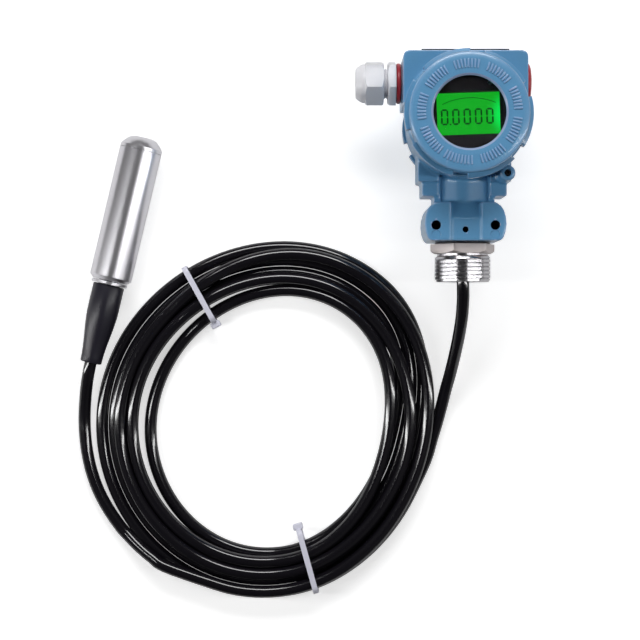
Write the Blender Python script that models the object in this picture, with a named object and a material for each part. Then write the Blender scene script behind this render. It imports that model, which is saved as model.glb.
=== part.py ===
"""Submersible level transmitter: cast head with a display, cable and probe, laid on a table.

The head lies on its rear cover with the display facing up (+Z). Its process thread points
along -Y, and the cable runs from there through a bound coil to the probe. The origin is the
centre of the rear cover's outer face. Run with: blender --background --python part.py
"""

import math

import bmesh
import bpy
from mathutils import Matrix, Vector

mm = 0.001

# Clearance between pieces that touch
gap = 0.3 * mm

# Head casting: a barrel along Z with a box on top that carries the two cable entries
barrel_length = 76.0 * mm
barrel_wall = 2.5 * mm
rear_narrowing = 3.0 * mm
rear_band = 12.0 * mm
rear_taper = 42.0 * mm
rear_cover_height = 12.0 * mm
front_cover_height = 16.0 * mm
cover_thread_depth = 11.0 * mm
chamber_step = 4.0 * mm
terminal_chamber_depth = 45.0 * mm
partition_thickness = 4.0 * mm
entry_face_stand = 0.8 * mm
box_top_y = 39.0 * mm
box_bottom_y = 8.0 * mm
box_depth = 50.0 * mm
box_corner = 3.0 * mm
casting_edge = 1.2 * mm

# Cable entries
entry_y = 23.2 * mm
entry_depth = 26.0 * mm
entry_bore_radius = 10.0 * mm

# Neck and mounting block below the barrel
neck_radius = 17.7 * mm
neck_bore_radius = 6.5 * mm
neck_base_y = -28.0 * mm
block_ear_y = -51.4 * mm
block_wide_y = -62.0 * mm
block_base_y = -71.4 * mm
block_ear_half = 21.2 * mm
block_wide_half = 23.8 * mm
block_base_half = 20.3 * mm
block_depth = 48.0 * mm
shoulder_half_width = 9.5 * mm
shoulder_y = -58.5 * mm
shoulder_drop = 5.5 * mm
bracket_hole_x = 17.2 * mm
bracket_hole_y = -62.5 * mm
bracket_hole_radius = 2.75 * mm
bracket_hole_depth = 12.0 * mm
centre_hole_y = -65.0 * mm
centre_hole_radius = 1.75 * mm
centre_hole_depth = 8.0 * mm

# Lugs beside the neck
lug_inner_x = 15.0 * mm
lug_outer_x = 27.3 * mm
lug_step_x = 24.8 * mm
lug_top_y = -19.0 * mm
lug_step_y = -36.6 * mm
lug_base_y = -45.0 * mm
lug_depth = 34.0 * mm
lock_boss_x = 23.0 * mm
lock_boss_y = -33.3 * mm
lock_boss_radius = 4.5 * mm
lock_boss_bite = 3.3 * mm
lock_hole_radius = 2.0 * mm
lock_screw_length = 10.0 * mm

# Screw covers
cover_face_step = 1.2 * mm
cover_rim_overhang = 1.3 * mm
cover_rim_width = 2.6 * mm
cover_rim_height = 8.5 * mm
cover_wall = 4.4 * mm
cover_notches = 6
cover_notch_angle = math.radians(14.0)
cover_notch_turn = math.radians(22.0)
cover_floor = 5.0 * mm
window_radius = 20.6 * mm
window_chamfer = 1.1 * mm
window_lip = 2.3 * mm
glass_overlap = 4.4 * mm
glass_thickness = 5.0 * mm
gasket_thickness = 1.0 * mm
gasket_width = 2.6 * mm
snap_ring_thickness = 1.2 * mm
snap_ring_bite = 1.5 * mm
snap_ring_width = 3.0 * mm
seal_cord_radius = 1.2 * mm

# Display: its panel sets the bezel, and the bezel sets the covers and the barrel round it
lcd_width = 36.0 * mm
lcd_height = 24.0 * mm
lcd_lap = 1.5 * mm
lcd_thickness = 3.6 * mm
lcd_y = 0.0 * mm
lcd_corner_room = 0.783 * mm
bezel_plate = 2.0 * mm
bezel_skirt = 1.5 * mm
bezel_height = 8.0 * mm
bezel_room = 2.3 * mm
board_thickness = 1.6 * mm
display_post_inset = 4.1 * mm
display_post_angle = math.radians(55.0)
display_post_radius = 2.1 * mm
display_screw_radius = 1.0 * mm
display_screw_head = 1.7 * mm
display_screw_length = 9.0 * mm
display_screw_sink = 1.3 * mm

# Terminals
terminal_width = 40.0 * mm
terminal_height = 16.0 * mm
terminal_depth = 14.0 * mm
terminal_y = -8.0 * mm
terminal_pitch = 12.0 * mm
terminal_count = 3
terminal_screw_radius = 1.5 * mm
terminal_head_radius = 2.9 * mm
terminal_head_height = 1.6 * mm
terminal_screw_length = 8.0 * mm
ground_screw_x = 21.0 * mm
ground_screw_y = 8.0 * mm

# Nameplate on top
plate_width = 51.0 * mm
plate_depth = 44.0 * mm
plate_thickness = 0.8 * mm
rivet_inset = 3.0 * mm
rivet_radius = 1.0 * mm
rivet_head_radius = 1.8 * mm
rivet_head_height = 0.8 * mm
rivet_length = 4.0 * mm

# Cable gland on the left entry
washer_radius = 12.0 * mm
washer_thickness = 2.7 * mm
gland_across_flats = 24.0 * mm
gland_hex_thickness = 4.8 * mm
gland_shank_radius = 9.7 * mm
gland_shank_length = 12.0 * mm
gland_bore_radius = 5.0 * mm
gland_thread_radius = 9.0 * mm
gland_thread_length = 7.6 * mm
gland_nut_space = 2.4 * mm
gland_nut_length = 16.6 * mm
gland_dome_length = 6.5 * mm
gland_end_wall = 6.0 * mm
gland_end_radius = 6.0 * mm
insert_bore_radius = 3.6 * mm

# Plug in the right entry
plug_radius = 12.0 * mm
plug_height = 4.2 * mm
plug_rim = 2.2 * mm
plug_shank_radius = 9.7 * mm
plug_shank_length = 12.0 * mm
plug_wall = 2.0 * mm

# Process connector
connector_stub_radius = 11.7 * mm
connector_stub_length = 12.0 * mm
connector_gasket_thickness = 0.8 * mm
connector_gasket_radius = 17.0 * mm
connector_hex_flats = 34.0 * mm
connector_hex_turn = math.radians(-10.0)
connector_hex_height = 5.6 * mm
connector_relief_radius = 15.0 * mm
connector_relief_length = 1.8 * mm
connector_thread_radius = 16.6 * mm
connector_thread_depth = 1.2 * mm
connector_thread_pitch = 2.309 * mm
connector_threads = 6
connector_end = 1.0 * mm
connector_bore_radius = 5.0 * mm
bush_radius = 8.0 * mm
bush_length = 12.0 * mm

# Cable
cable_radius = 3.8 * mm
cable_entry_depth = 7.0 * mm
cable_boot_depth = 10.6 * mm

# Coil of cable: its outline is a circle pulled slightly out of round, as cable springs
coil_x = -116.5 * mm
coil_y = -178.5 * mm
coil_outer_radius = 108.1 * mm
coil_inner_radius = 71.3 * mm
coil_oval = 4.0 * mm
coil_oval_angle = math.radians(62.0)
coil_lobe = 1.3 * mm
coil_lobe_angle = math.radians(46.0)
coil_hole_shift = 3.2 * mm
coil_hole_shift_angle = math.radians(40.0)
coil_height = 15.2 * mm
coil_corner = 3.4 * mm

# Ties round the coil
tie_angles = {"upper": math.radians(119.0), "lower": math.radians(-74.5)}
tie_width = 3.6 * mm
tie_thickness = 1.1 * mm
tie_head_width = 6.4 * mm
tie_head_height = 4.6 * mm
tie_head_depth = 4.0 * mm
tie_lift_spread = math.radians(9.0)

# Probe: a steel tube lying on the table, its cable end towards -Y
probe_radius = 13.0 * mm
probe_x = -213.7 * mm
probe_y = -93.6 * mm
probe_heading = math.radians(76.7)
probe_length = 82.0 * mm
probe_shoulder = 2.4 * mm
probe_cavity_radius = 11.0 * mm
probe_floor = 6.0 * mm
probe_inlet_radius = 7.0 * mm
cell_seat_radius = 10.2 * mm
cell_seat_depth = 15.0 * mm
cell_length = 8.0 * mm
cap_thread_radius = 11.6 * mm
cap_thread_length = 7.0 * mm
cap_height = 2.0 * mm
cap_dome = 6.0 * mm
cap_nose_radius = 5.4 * mm
cap_hole_radius = 2.2 * mm
cap_spigot_wall = 1.8 * mm
cell_ring_radius = 0.9 * mm
probe_board_width = 14.0 * mm
probe_board_length = 48.0 * mm
collar_radius = 11.0 * mm
collar_length = 2.0 * mm
boot_radius = 9.6 * mm
boot_straight = 15.0 * mm
boot_end_radius = 6.6 * mm
boot_length = 49.0 * mm
boot_spigot_length = 8.0 * mm

# Round pieces: sides of a full circle
fine_sides = 36
round_sides = 24
small_sides = 12
cutter_turn = math.radians(5.0)

# Sizes that follow from the display panel, from the inside out
bezel_inner = math.hypot(lcd_width / 2 + lcd_lap, lcd_height / 2 + lcd_lap) + lcd_corner_room
bezel_radius = bezel_inner + bezel_skirt
display_post_ring = bezel_radius - display_post_inset
cover_cavity_radius = bezel_radius + bezel_room
cover_sleeve_radius = cover_cavity_radius + cover_wall
cover_thread_radius = cover_sleeve_radius + gap
chamber_radius = cover_thread_radius - chamber_step
barrel_radius = cover_thread_radius + barrel_wall
box_half_width = barrel_radius + entry_face_stand
cover_rim_radius = barrel_radius + cover_rim_overhang
cover_rim_inner = cover_rim_radius - cover_rim_width
cover_face_radius = cover_rim_inner - cover_face_step
rear_barrel_radius = barrel_radius - rear_narrowing
glass_radius = window_radius + glass_overlap

# Places worked out from the sizes above
barrel_rear_z = rear_cover_height
barrel_front_z = barrel_rear_z + barrel_length
head_front_z = barrel_front_z + front_cover_height
axis_z = barrel_rear_z + barrel_length / 2
partition_rear_z = barrel_rear_z + terminal_chamber_depth
partition_front_z = partition_rear_z + partition_thickness
block_front_z = axis_z + block_depth / 2
connector_top_y = block_base_y - 2 * gap - connector_gasket_thickness
connector_hex_base_y = connector_top_y - connector_hex_height
connector_thread_y = connector_hex_base_y - connector_relief_length
connector_end_y = connector_thread_y - connector_threads * connector_thread_pitch - connector_end
up_z = Vector((0.0, 0.0, 1.0))
cable_down = Vector((0.0, -1.0, 0.0))
gland_out = Vector((-1.0, 0.0, 0.0))
plug_out = Vector((1.0, 0.0, 0.0))
plate_out = Vector((0.0, 1.0, 0.0))
probe_out = Vector((math.cos(probe_heading), math.sin(probe_heading), 0.0))
probe_origin = Vector((probe_x, probe_y, probe_radius))
boot_reach = 2 * gap + collar_length + boot_length

# Cable routes, hand-placed from the thread down to the coil, and from the coil to the boot
head_lead_points = [
    (0.0, connector_end_y + cable_entry_depth, axis_z),
    (0.3 * mm, -97.0 * mm, 49.9 * mm),
    (0.5 * mm, -105.5 * mm, 48.0 * mm),
    (0.1 * mm, -116.5 * mm, 42.6 * mm),
    (-1.1 * mm, -128.0 * mm, 34.2 * mm),
    (-2.8 * mm, -139.5 * mm, 24.4 * mm),
    (-4.8 * mm, -150.5 * mm, 15.5 * mm),
    (-7.2 * mm, -160.9 * mm, 9.2 * mm),
]
probe_lead_points = [
    tuple(probe_origin - probe_out * (boot_reach - cable_boot_depth)),
    tuple(probe_origin - probe_out * (boot_reach - 0.1 * mm)),
    (-227.3 * mm, -152.0 * mm, 11.9 * mm),
    (-228.9 * mm, -160.5 * mm, 8.4 * mm),
    (-230.0 * mm, -169.5 * mm, 5.2 * mm),
    (-230.5 * mm, -178.5 * mm, 3.9 * mm),
    (-230.2 * mm, -187.5 * mm, 3.8 * mm),
    (-229.0 * mm, -198.5 * mm, 3.8 * mm),
    (-226.4 * mm, -210.5 * mm, 3.8 * mm),
    (-222.2 * mm, -222.5 * mm, 3.8 * mm),
    (-216.2 * mm, -234.0 * mm, 3.8 * mm),
    (-208.4 * mm, -245.4 * mm, 3.8 * mm),
]
lead_steps = 3


def clear_objects():
    for thing in list(bpy.data.objects):
        bpy.data.objects.remove(thing, do_unlink=True)


def finish(name, colour, roughness, metallic=0.0):
    """A plain surface finish of one colour."""
    material = bpy.data.materials.new(name)
    material.use_nodes = True
    shader = material.node_tree.nodes["Principled BSDF"]
    shader.inputs["Base Color"].default_value = (*colour, 1.0)
    shader.inputs["Roughness"].default_value = roughness
    shader.inputs["Metallic"].default_value = metallic
    return material


def make_object(name, bm, material, place=None, direction=None):
    """Turn a bmesh into an object whose local +Z points along direction."""
    bmesh.ops.recalc_face_normals(bm, faces=bm.faces)
    mesh = bpy.data.meshes.new(name)
    bm.to_mesh(mesh)
    bm.free()
    mesh.shade_smooth()
    mesh.set_sharp_from_angle(angle=math.radians(30))
    if material:
        mesh.materials.append(material)
    thing = bpy.data.objects.new(name, mesh)
    bpy.context.scene.collection.objects.link(thing)
    if place is not None:
        thing.location = place
    if direction is not None:
        thing.rotation_euler = direction.to_track_quat("Z", "Y").to_euler()
    return thing


def turned_bmesh(profile, sides, turn=0.0):
    """Spin a profile of (radius, height) points about Z.

    A profile that starts or ends on the axis is closed there, by one face where the end is
    flat and by a cone where it isn't. Any other profile is a ring.
    """
    bm = bmesh.new()
    rings = []
    for radius, height in profile:
        if radius == 0.0:
            rings.append([(0.0, 0.0, height)])
            continue
        ring = []
        for side in range(sides):
            angle = turn + 2 * math.pi * side / sides
            ring.append((radius * math.cos(angle), radius * math.sin(angle), height))
        rings.append(ring)
    solid_ends = []
    for end, beside in ((0, 1), (-1, -2)):
        if len(rings[end]) == 1 and profile[end][1] == profile[beside][1]:
            solid_ends.append(end)
    rings = rings[(1 if 0 in solid_ends else 0):(-1 if -1 in solid_ends else len(rings))]
    rings = [[bm.verts.new(place) for place in ring] for ring in rings]
    for end in solid_ends:
        bm.faces.new(rings[end])
    pairs = list(zip(rings, rings[1:]))
    if not solid_ends and len(rings[0]) > 1 and len(rings[-1]) > 1:
        pairs.append((rings[-1], rings[0]))
    for low, high in pairs:
        for side in range(sides):
            after = (side + 1) % sides
            if len(low) == 1:
                bm.faces.new((low[0], high[side], high[after]))
            elif len(high) == 1:
                bm.faces.new((low[side], low[after], high[0]))
            else:
                bm.faces.new((low[side], low[after], high[after], high[side]))
    return bm


def turned(name, profile, material, sides=round_sides, place=None, direction=None, turn=0.0):
    return make_object(name, turned_bmesh(profile, sides, turn), material, place, direction)


def rod_profile(radius, low, high, edge=0.0):
    """A solid rod, with both ends bevelled by edge."""
    if edge == 0.0:
        return [(0.0, low), (radius, low), (radius, high), (0.0, high)]
    return [(0.0, low), (radius - edge, low), (radius, low + edge),
            (radius, high - edge), (radius - edge, high), (0.0, high)]


def ring_profile(inner, outer, low, high):
    return [(inner, low), (outer, low), (outer, high), (inner, high)]


def seal_profile(radius, height, cord, points=5):
    """The round section of a seal ring whose cord is centred at radius and height."""
    return [(radius + cord * math.cos(2 * math.pi * k / points),
             height + cord * math.sin(2 * math.pi * k / points)) for k in range(points)]


def prism_bmesh(outline, low, high):
    """Extrude a closed (x, y) outline from low to high along Z."""
    bm = bmesh.new()
    base = bm.faces.new([bm.verts.new((x, y, low)) for x, y in outline])
    moved = bmesh.ops.extrude_face_region(bm, geom=[base])
    lifted = [item for item in moved["geom"] if isinstance(item, bmesh.types.BMVert)]
    bmesh.ops.translate(bm, verts=lifted, vec=(0.0, 0.0, high - low))
    return bm


def prism(name, outline, low, high, material, place=None, direction=None):
    return make_object(name, prism_bmesh(outline, low, high), material, place, direction)


def box_outline(x0, x1, y0, y1):
    return [(x0, y0), (x1, y0), (x1, y1), (x0, y1)]


def hexagon(across_flats, turn=0.0):
    radius = across_flats / math.sqrt(3)
    return [(radius * math.cos(turn + k * math.pi / 3), radius * math.sin(turn + k * math.pi / 3))
            for k in range(6)]


def soften(thing, width, segments=2, limit=40.0):
    bevel = thing.modifiers.new("Bevel", "BEVEL")
    bevel.width = width
    bevel.segments = segments
    bevel.limit_method = "ANGLE"
    bevel.angle_limit = math.radians(limit)
    return thing


def combine(body, tool, operation):
    """Join a tool to a body, or cut it out, with a Boolean that stays editable."""
    modifier = body.modifiers.new(tool.name, "BOOLEAN")
    modifier.object = tool
    modifier.operation = operation
    modifier.solver = "EXACT"
    tool.hide_render = True
    tool.display_type = "WIRE"


def add(body, *tools):
    for tool in tools:
        combine(body, tool, "UNION")


def cut(body, *tools):
    for tool in tools:
        combine(body, tool, "DIFFERENCE")


def cut_rod(name, radius, low, high, sides=small_sides, place=None, direction=None):
    """A round cutter, turned a little so that its edges miss those of the piece it cuts."""
    return turned("cut_" + name, rod_profile(radius, low, high), None, sides, place, direction,
                  cutter_turn)


paint = finish("blue_paint", (0.12, 0.33, 0.56), 0.35)
dark_plastic = finish("dark_plastic", (0.02, 0.015, 0.025), 0.35)
lcd_green = finish("lcd_green", (0.01, 0.45, 0.05), 0.25)
board_green = finish("board_green", (0.02, 0.12, 0.05), 0.5)
terminal_plastic = finish("terminal_plastic", (0.03, 0.03, 0.035), 0.5)
bright_screw = finish("bright_screw", (0.62, 0.62, 0.63), 0.28, 1.0)
plate_metal = finish("plate_metal", (0.10, 0.10, 0.11), 0.35, 1.0)
white_plastic = finish("white_plastic", (0.86, 0.86, 0.88), 0.35)
red_plastic = finish("red_plastic", (0.45, 0.03, 0.04), 0.4)
grey_metal = finish("grey_metal", (0.36, 0.34, 0.32), 0.45, 1.0)
steel = finish("steel", (0.66, 0.66, 0.67), 0.22, 1.0)
black_rubber = finish("black_rubber", (0.012, 0.012, 0.014), 0.55)
black_cable = finish("black_cable", (0.008, 0.008, 0.010), 0.28)
clear_glass = finish("clear_glass", (0.9, 0.95, 0.95), 0.03)
ceramic = finish("ceramic", (0.75, 0.74, 0.70), 0.45)
tie_plastic = finish("tie_plastic", (0.72, 0.72, 0.78), 0.4)


def build_housing():
    """The head casting: barrel, entry box, lugs, neck and mounting block in one piece."""
    edge = casting_edge
    taper_z = barrel_rear_z + rear_band
    barrel = [(0.0, barrel_rear_z), (rear_barrel_radius - edge, barrel_rear_z),
              (rear_barrel_radius, barrel_rear_z + edge), (rear_barrel_radius, taper_z),
              (barrel_radius, taper_z + rear_taper), (barrel_radius, barrel_front_z - edge),
              (barrel_radius - edge, barrel_front_z), (0.0, barrel_front_z)]
    housing = turned("housing", barrel, paint, fine_sides)

    corner = box_corner
    top_box = [(-box_half_width, box_bottom_y), (box_half_width, box_bottom_y),
               (box_half_width, box_top_y - corner), (box_half_width - corner, box_top_y),
               (corner - box_half_width, box_top_y), (-box_half_width, box_top_y - corner)]
    add(housing, soften(prism("form_entry_box", top_box, axis_z - box_depth / 2,
                              axis_z + box_depth / 2, None), edge, 1, 60.0))

    neck = rod_profile(neck_radius, -neck_base_y, -block_wide_y)
    add(housing, build_block_form(), turned("form_neck", neck, None, round_sides,
                                            (0.0, 0.0, axis_z), cable_down))
    for side, name in ((-1, "left"), (1, "right")):
        lug = [(side * lug_inner_x, lug_top_y), (side * lug_outer_x, lug_top_y),
               (side * lug_outer_x, lug_step_y), (side * lug_step_x, lug_step_y),
               (side * lug_step_x, lug_base_y), (side * lug_inner_x, lug_base_y)]
        add(housing, prism("form_lug_" + name, lug, axis_z - lug_depth / 2,
                           axis_z + lug_depth / 2, None))
    lock_top_z = barrel_front_z - gap
    boss_low_z = axis_z + lug_depth / 2 - lock_boss_bite
    boss = rod_profile(lock_boss_radius, boss_low_z, lock_top_z, 0.6 * mm)
    add(housing, turned("form_lock_boss", boss, None, small_sides + 4,
                        (lock_boss_x, lock_boss_y, 0.0)))

    rear_bore_z = barrel_rear_z + cover_thread_depth
    front_bore_z = barrel_front_z - cover_thread_depth
    rear_thread_radius = cover_thread_radius - rear_narrowing
    rear = [(0.0, barrel_rear_z - mm), (rear_thread_radius, barrel_rear_z - mm),
            (rear_thread_radius, rear_bore_z), (chamber_radius, rear_bore_z),
            (chamber_radius, partition_rear_z), (0.0, partition_rear_z)]
    front = [(0.0, partition_front_z), (chamber_radius, partition_front_z),
             (chamber_radius, front_bore_z), (cover_thread_radius, front_bore_z),
             (cover_thread_radius, barrel_front_z + mm), (0.0, barrel_front_z + mm)]
    cut(housing, turned("cut_rear_chamber", rear, None, fine_sides),
        turned("cut_front_chamber", front, None, fine_sides))
    entry_z = entry_height()
    for side, name in ((gland_out, "left"), (plug_out, "right")):
        cut(housing, cut_rod("entry_" + name, entry_bore_radius, box_half_width - entry_depth,
                             box_half_width + mm, round_sides, (0.0, entry_y, entry_z), side))
    cut(housing, cut_rod("neck_bore", neck_bore_radius, chamber_radius - 2 * mm,
                         -block_base_y + mm, small_sides + 4, (0.0, 0.0, axis_z), cable_down))
    cut(housing, cut_rod("connector_seat", connector_stub_radius + gap,
                         -block_base_y - connector_stub_length - gap, -block_base_y + mm,
                         round_sides, (0.0, 0.0, axis_z), cable_down))
    for x in (-bracket_hole_x, bracket_hole_x):
        cut(housing, cut_rod("bracket_hole", bracket_hole_radius,
                             block_front_z - bracket_hole_depth, block_front_z + mm,
                             small_sides, (x, bracket_hole_y, 0.0)))
    cut(housing, cut_rod("centre_hole", centre_hole_radius, block_front_z - centre_hole_depth,
                         block_front_z + mm, 12, (0.0, centre_hole_y, 0.0)))
    cut(housing, cut_rod("lock_hole", lock_hole_radius, lock_top_z - lock_screw_length - gap,
                         lock_top_z + mm, 12, (lock_boss_x, lock_boss_y, 0.0)))
    for x, y, depth in screw_seats():
        cut(housing, cut_rod("partition_screw", terminal_screw_radius + gap,
                             partition_rear_z - mm, partition_rear_z + depth, 12, (x, y, 0.0)))
    for x in rivet_places():
        cut(housing, cut_rod("rivet", rivet_radius + gap, box_top_y - rivet_length,
                             box_top_y + mm, 12, (x, 0.0, axis_z), plate_out))
    post_top = display_plate_z() - gap
    for x, y in display_post_places():
        post = ring_profile(display_screw_radius + gap, display_post_radius,
                            partition_front_z - mm, post_top)
        add(housing, turned("form_display_post", post, None, small_sides, (x, y, 0.0)))
    return housing


def build_block_form():
    """The mounting block, wide at its ears, with a sloping shoulder in the middle of each face."""
    outline = [(-block_base_half, block_base_y), (block_base_half, block_base_y),
               (block_wide_half, block_wide_y), (block_ear_half, block_ear_y),
               (-block_ear_half, block_ear_y), (-block_wide_half, block_wide_y)]
    block = soften(prism("form_block", outline, axis_z - block_depth / 2, block_front_z, None),
                   casting_edge, 1, 50.0)
    for facing in (1, -1):
        face = facing * block_depth / 2
        wedge = [(shoulder_y, face), (block_ear_y + 2 * mm, face - facing * shoulder_drop * 1.3),
                 (block_ear_y + 2 * mm, face + facing * mm), (shoulder_y, face + facing * mm)]
        bm = prism_bmesh(wedge, -shoulder_half_width, shoulder_half_width)
        bm.transform(Matrix(((0, 0, 1, 0), (1, 0, 0, 0), (0, 1, 0, axis_z), (0, 0, 0, 1))))
        cut(block, make_object("cut_shoulder", bm, None))
    return block


def entry_height():
    """The cable entries open into the terminal chamber, just behind the partition."""
    return partition_rear_z - entry_bore_radius - mm


def display_post_places():
    """Two posts on opposite sides of the display, at its upper right and lower left."""
    x = display_post_ring * math.cos(display_post_angle)
    y = display_post_ring * math.sin(display_post_angle)
    return ((x, y), (-x, -y))


def display_plate_z():
    """Underside of the display bezel's front plate, just inside the front cover's cavity."""
    return window_seat_z() - bezel_plate - gap


def window_seat_z():
    """Where the front cover's cavity steps in to hold the glass."""
    stack = window_lip + gasket_thickness + glass_thickness + snap_ring_thickness + 4 * gap
    return head_front_z - stack - 0.6 * mm


def rivet_places():
    return (rivet_inset - plate_width / 2, plate_width / 2 - rivet_inset)


def screw_seats():
    """Where screws enter the partition from the terminal chamber: x, y and depth."""
    return [(ground_screw_x, ground_screw_y, 2.4 * mm)]


def cover_notch_tools(name, inner, low, high):
    """Six blocks that cut the rim of a cover into castellations, down to its inner radius."""
    reach = cover_rim_radius + 2 * mm
    for number in range(cover_notches):
        middle = cover_notch_turn + number * 2 * math.pi / cover_notches
        edges = (middle - cover_notch_angle / 2, middle + cover_notch_angle / 2)
        outline = [(inner * math.cos(edges[0]), inner * math.sin(edges[0])),
                   (reach * math.cos(edges[0]), reach * math.sin(edges[0])),
                   (reach * math.cos(edges[1]), reach * math.sin(edges[1])),
                   (inner * math.cos(edges[1]), inner * math.sin(edges[1]))]
        yield prism("cut_%s_notch" % name, outline, low, high, None)


def seal_groove(sleeve, edge_z, towards):
    """Profile points of the seal groove in a sleeve, walked away from the rim at edge_z."""
    depth = sleeve - 2 * seal_cord_radius - gap
    near = edge_z + towards * 0.7 * mm
    far = near + towards * (2 * seal_cord_radius + 2 * gap)
    return [(sleeve, near), (depth, near), (depth, far), (sleeve, far)]


def seal_height(edge_z, towards):
    return edge_z + towards * (0.7 * mm + gap + seal_cord_radius)


def build_front_cover():
    """The windowed cover, with its castellated rim, and the glass that it holds."""
    sleeve_end = barrel_front_z - cover_thread_depth + gap
    rim_low = barrel_front_z + gap
    rim_high = rim_low + cover_rim_height
    seat = window_seat_z()
    lip_z = head_front_z - window_lip
    groove_low = seat + gap
    groove_high = groove_low + snap_ring_thickness + 2 * gap
    glass_bore = glass_radius + gap
    groove = glass_bore + snap_ring_bite
    outside = [(cover_sleeve_radius, rim_low), (cover_rim_radius, rim_low),
               (cover_rim_radius, rim_high - 0.8 * mm), (cover_rim_radius - 0.8 * mm, rim_high),
               (cover_rim_inner, rim_high), (cover_rim_inner, head_front_z - 1.6 * mm),
               (cover_face_radius + 0.6 * mm, head_front_z - 0.5 * mm),
               (cover_face_radius, head_front_z), (window_radius + window_chamfer, head_front_z),
               (window_radius, head_front_z - window_chamfer), (window_radius, lip_z)]
    inside = [(glass_bore, lip_z), (glass_bore, groove_high), (groove, groove_high),
              (groove, groove_low), (glass_bore, groove_low), (glass_bore, seat),
              (cover_cavity_radius, seat), (cover_cavity_radius, sleeve_end),
              (cover_sleeve_radius, sleeve_end)]
    groove_points = seal_groove(cover_sleeve_radius, barrel_front_z, -1)
    profile = outside + inside + groove_points[::-1]
    cover = turned("front_cover", profile, paint, fine_sides)
    cut(cover, *cover_notch_tools("front", cover_rim_inner, rim_low - mm, rim_high + mm))
    turned("front_cover_oring",
           seal_profile(cover_sleeve_radius - seal_cord_radius, seal_height(barrel_front_z, -1),
                        seal_cord_radius - 0.05 * mm), black_rubber, fine_sides)

    gasket_top = lip_z - gap
    gasket_low = gasket_top - gasket_thickness
    turned("window_gasket", ring_profile(glass_radius - gasket_width, glass_radius,
                                         gasket_low, gasket_top), black_rubber)
    glass_top = gasket_low - gap
    turned("cover_window", rod_profile(glass_radius, glass_top - glass_thickness, glass_top,
                                       0.3 * mm), clear_glass)
    turned("window_ring", ring_profile(glass_bore - snap_ring_width, groove - gap,
                                       groove_low + gap, groove_high - gap),
           bright_screw)


def build_rear_cover():
    """The blind cover that the head rests on, with its seal, a little smaller than the other."""
    sleeve_end = barrel_rear_z + cover_thread_depth - gap
    rim_high = barrel_rear_z - gap
    rim_low = rim_high - cover_rim_height
    sleeve = cover_sleeve_radius - rear_narrowing
    cavity = cover_cavity_radius - rear_narrowing
    rim = cover_rim_radius - rear_narrowing
    rim_inner = cover_rim_inner - rear_narrowing
    face = cover_face_radius - rear_narrowing
    profile = [(0.0, 0.0), (face - 0.6 * mm, 0.0), (face, 0.5 * mm), (rim_inner, 1.6 * mm),
               (rim_inner, rim_low), (rim - 0.8 * mm, rim_low), (rim, rim_low + 0.8 * mm),
               (rim, rim_high), (sleeve, rim_high)]
    profile += seal_groove(sleeve, barrel_rear_z, 1)
    profile += [(sleeve, sleeve_end), (cavity, sleeve_end), (cavity, cover_floor),
                (0.0, cover_floor)]
    cover = turned("rear_cover", profile, paint, fine_sides)
    cut(cover, *cover_notch_tools("rear", rim_inner, rim_low - mm, rim_high + mm))
    turned("rear_cover_oring",
           seal_profile(sleeve - seal_cord_radius, seal_height(barrel_rear_z, 1),
                        seal_cord_radius - 0.05 * mm), black_rubber, fine_sides)


def pan_screw(name, shank, head, head_height, length, material, place, direction=None):
    """A screw whose head's underside is at the origin, pointing down its local Z."""
    profile = [(0.0, -length), (shank, -length), (shank, 0.0), (head, 0.0),
               (head, head_height * 0.5), (head * 0.8, head_height), (0.0, head_height)]
    screw = turned(name, profile, material, small_sides, place, direction)
    slot = prism("cut_slot_" + name, box_outline(-head * 1.2, head * 1.2, -head * 0.14,
                                                 head * 0.14),
                 head_height * 0.45, head_height + mm, None, place, direction)
    cut(screw, slot)
    return screw


def build_display():
    """The display module under the window: bezel, liquid crystal panel, board and screws."""
    plate_z = display_plate_z()
    plate_top = plate_z + bezel_plate
    skirt_low = plate_top - bezel_height
    bezel = turned("display_bezel",
                   [(0.0, plate_z), (bezel_inner, plate_z), (bezel_inner, skirt_low),
                    (bezel_radius, skirt_low), (bezel_radius, plate_top - 0.5 * mm),
                    (bezel_radius - 0.5 * mm, plate_top), (0.0, plate_top)],
                   dark_plastic)
    half_width = lcd_width / 2
    half_height = lcd_height / 2
    cut(bezel, prism("cut_lcd_window", box_outline(-half_width, half_width, lcd_y - half_height,
                                                   lcd_y + half_height),
                     plate_z - mm, plate_top + mm, None))
    head_seat = plate_top - display_screw_sink
    for x, y in display_post_places():
        cut(bezel, cut_rod("bezel_screw", display_screw_radius + gap, plate_z - mm,
                           plate_top + mm, small_sides, (x, y, 0.0)),
            cut_rod("bezel_head", display_screw_head + gap, head_seat, plate_top + mm,
                    small_sides + 2, (x, y, 0.0)))
    lcd_top = plate_z - gap
    lcd_low = lcd_top - lcd_thickness
    lap = lcd_lap
    panel = box_outline(-half_width - lap, half_width + lap,
                        lcd_y - half_height - lap, lcd_y + half_height + lap)
    prism("lcd_panel", panel, lcd_low, lcd_top, lcd_green)
    board_top = lcd_low - gap
    prism("display_board", panel, board_top - board_thickness, board_top, board_green)
    for (x, y), side in zip(display_post_places(), ("right", "left")):
        pan_screw("display_screw_" + side, display_screw_radius, display_screw_head,
                  display_screw_sink - 2 * gap, display_screw_length, bright_screw,
                  (x, y, head_seat + gap))


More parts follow.
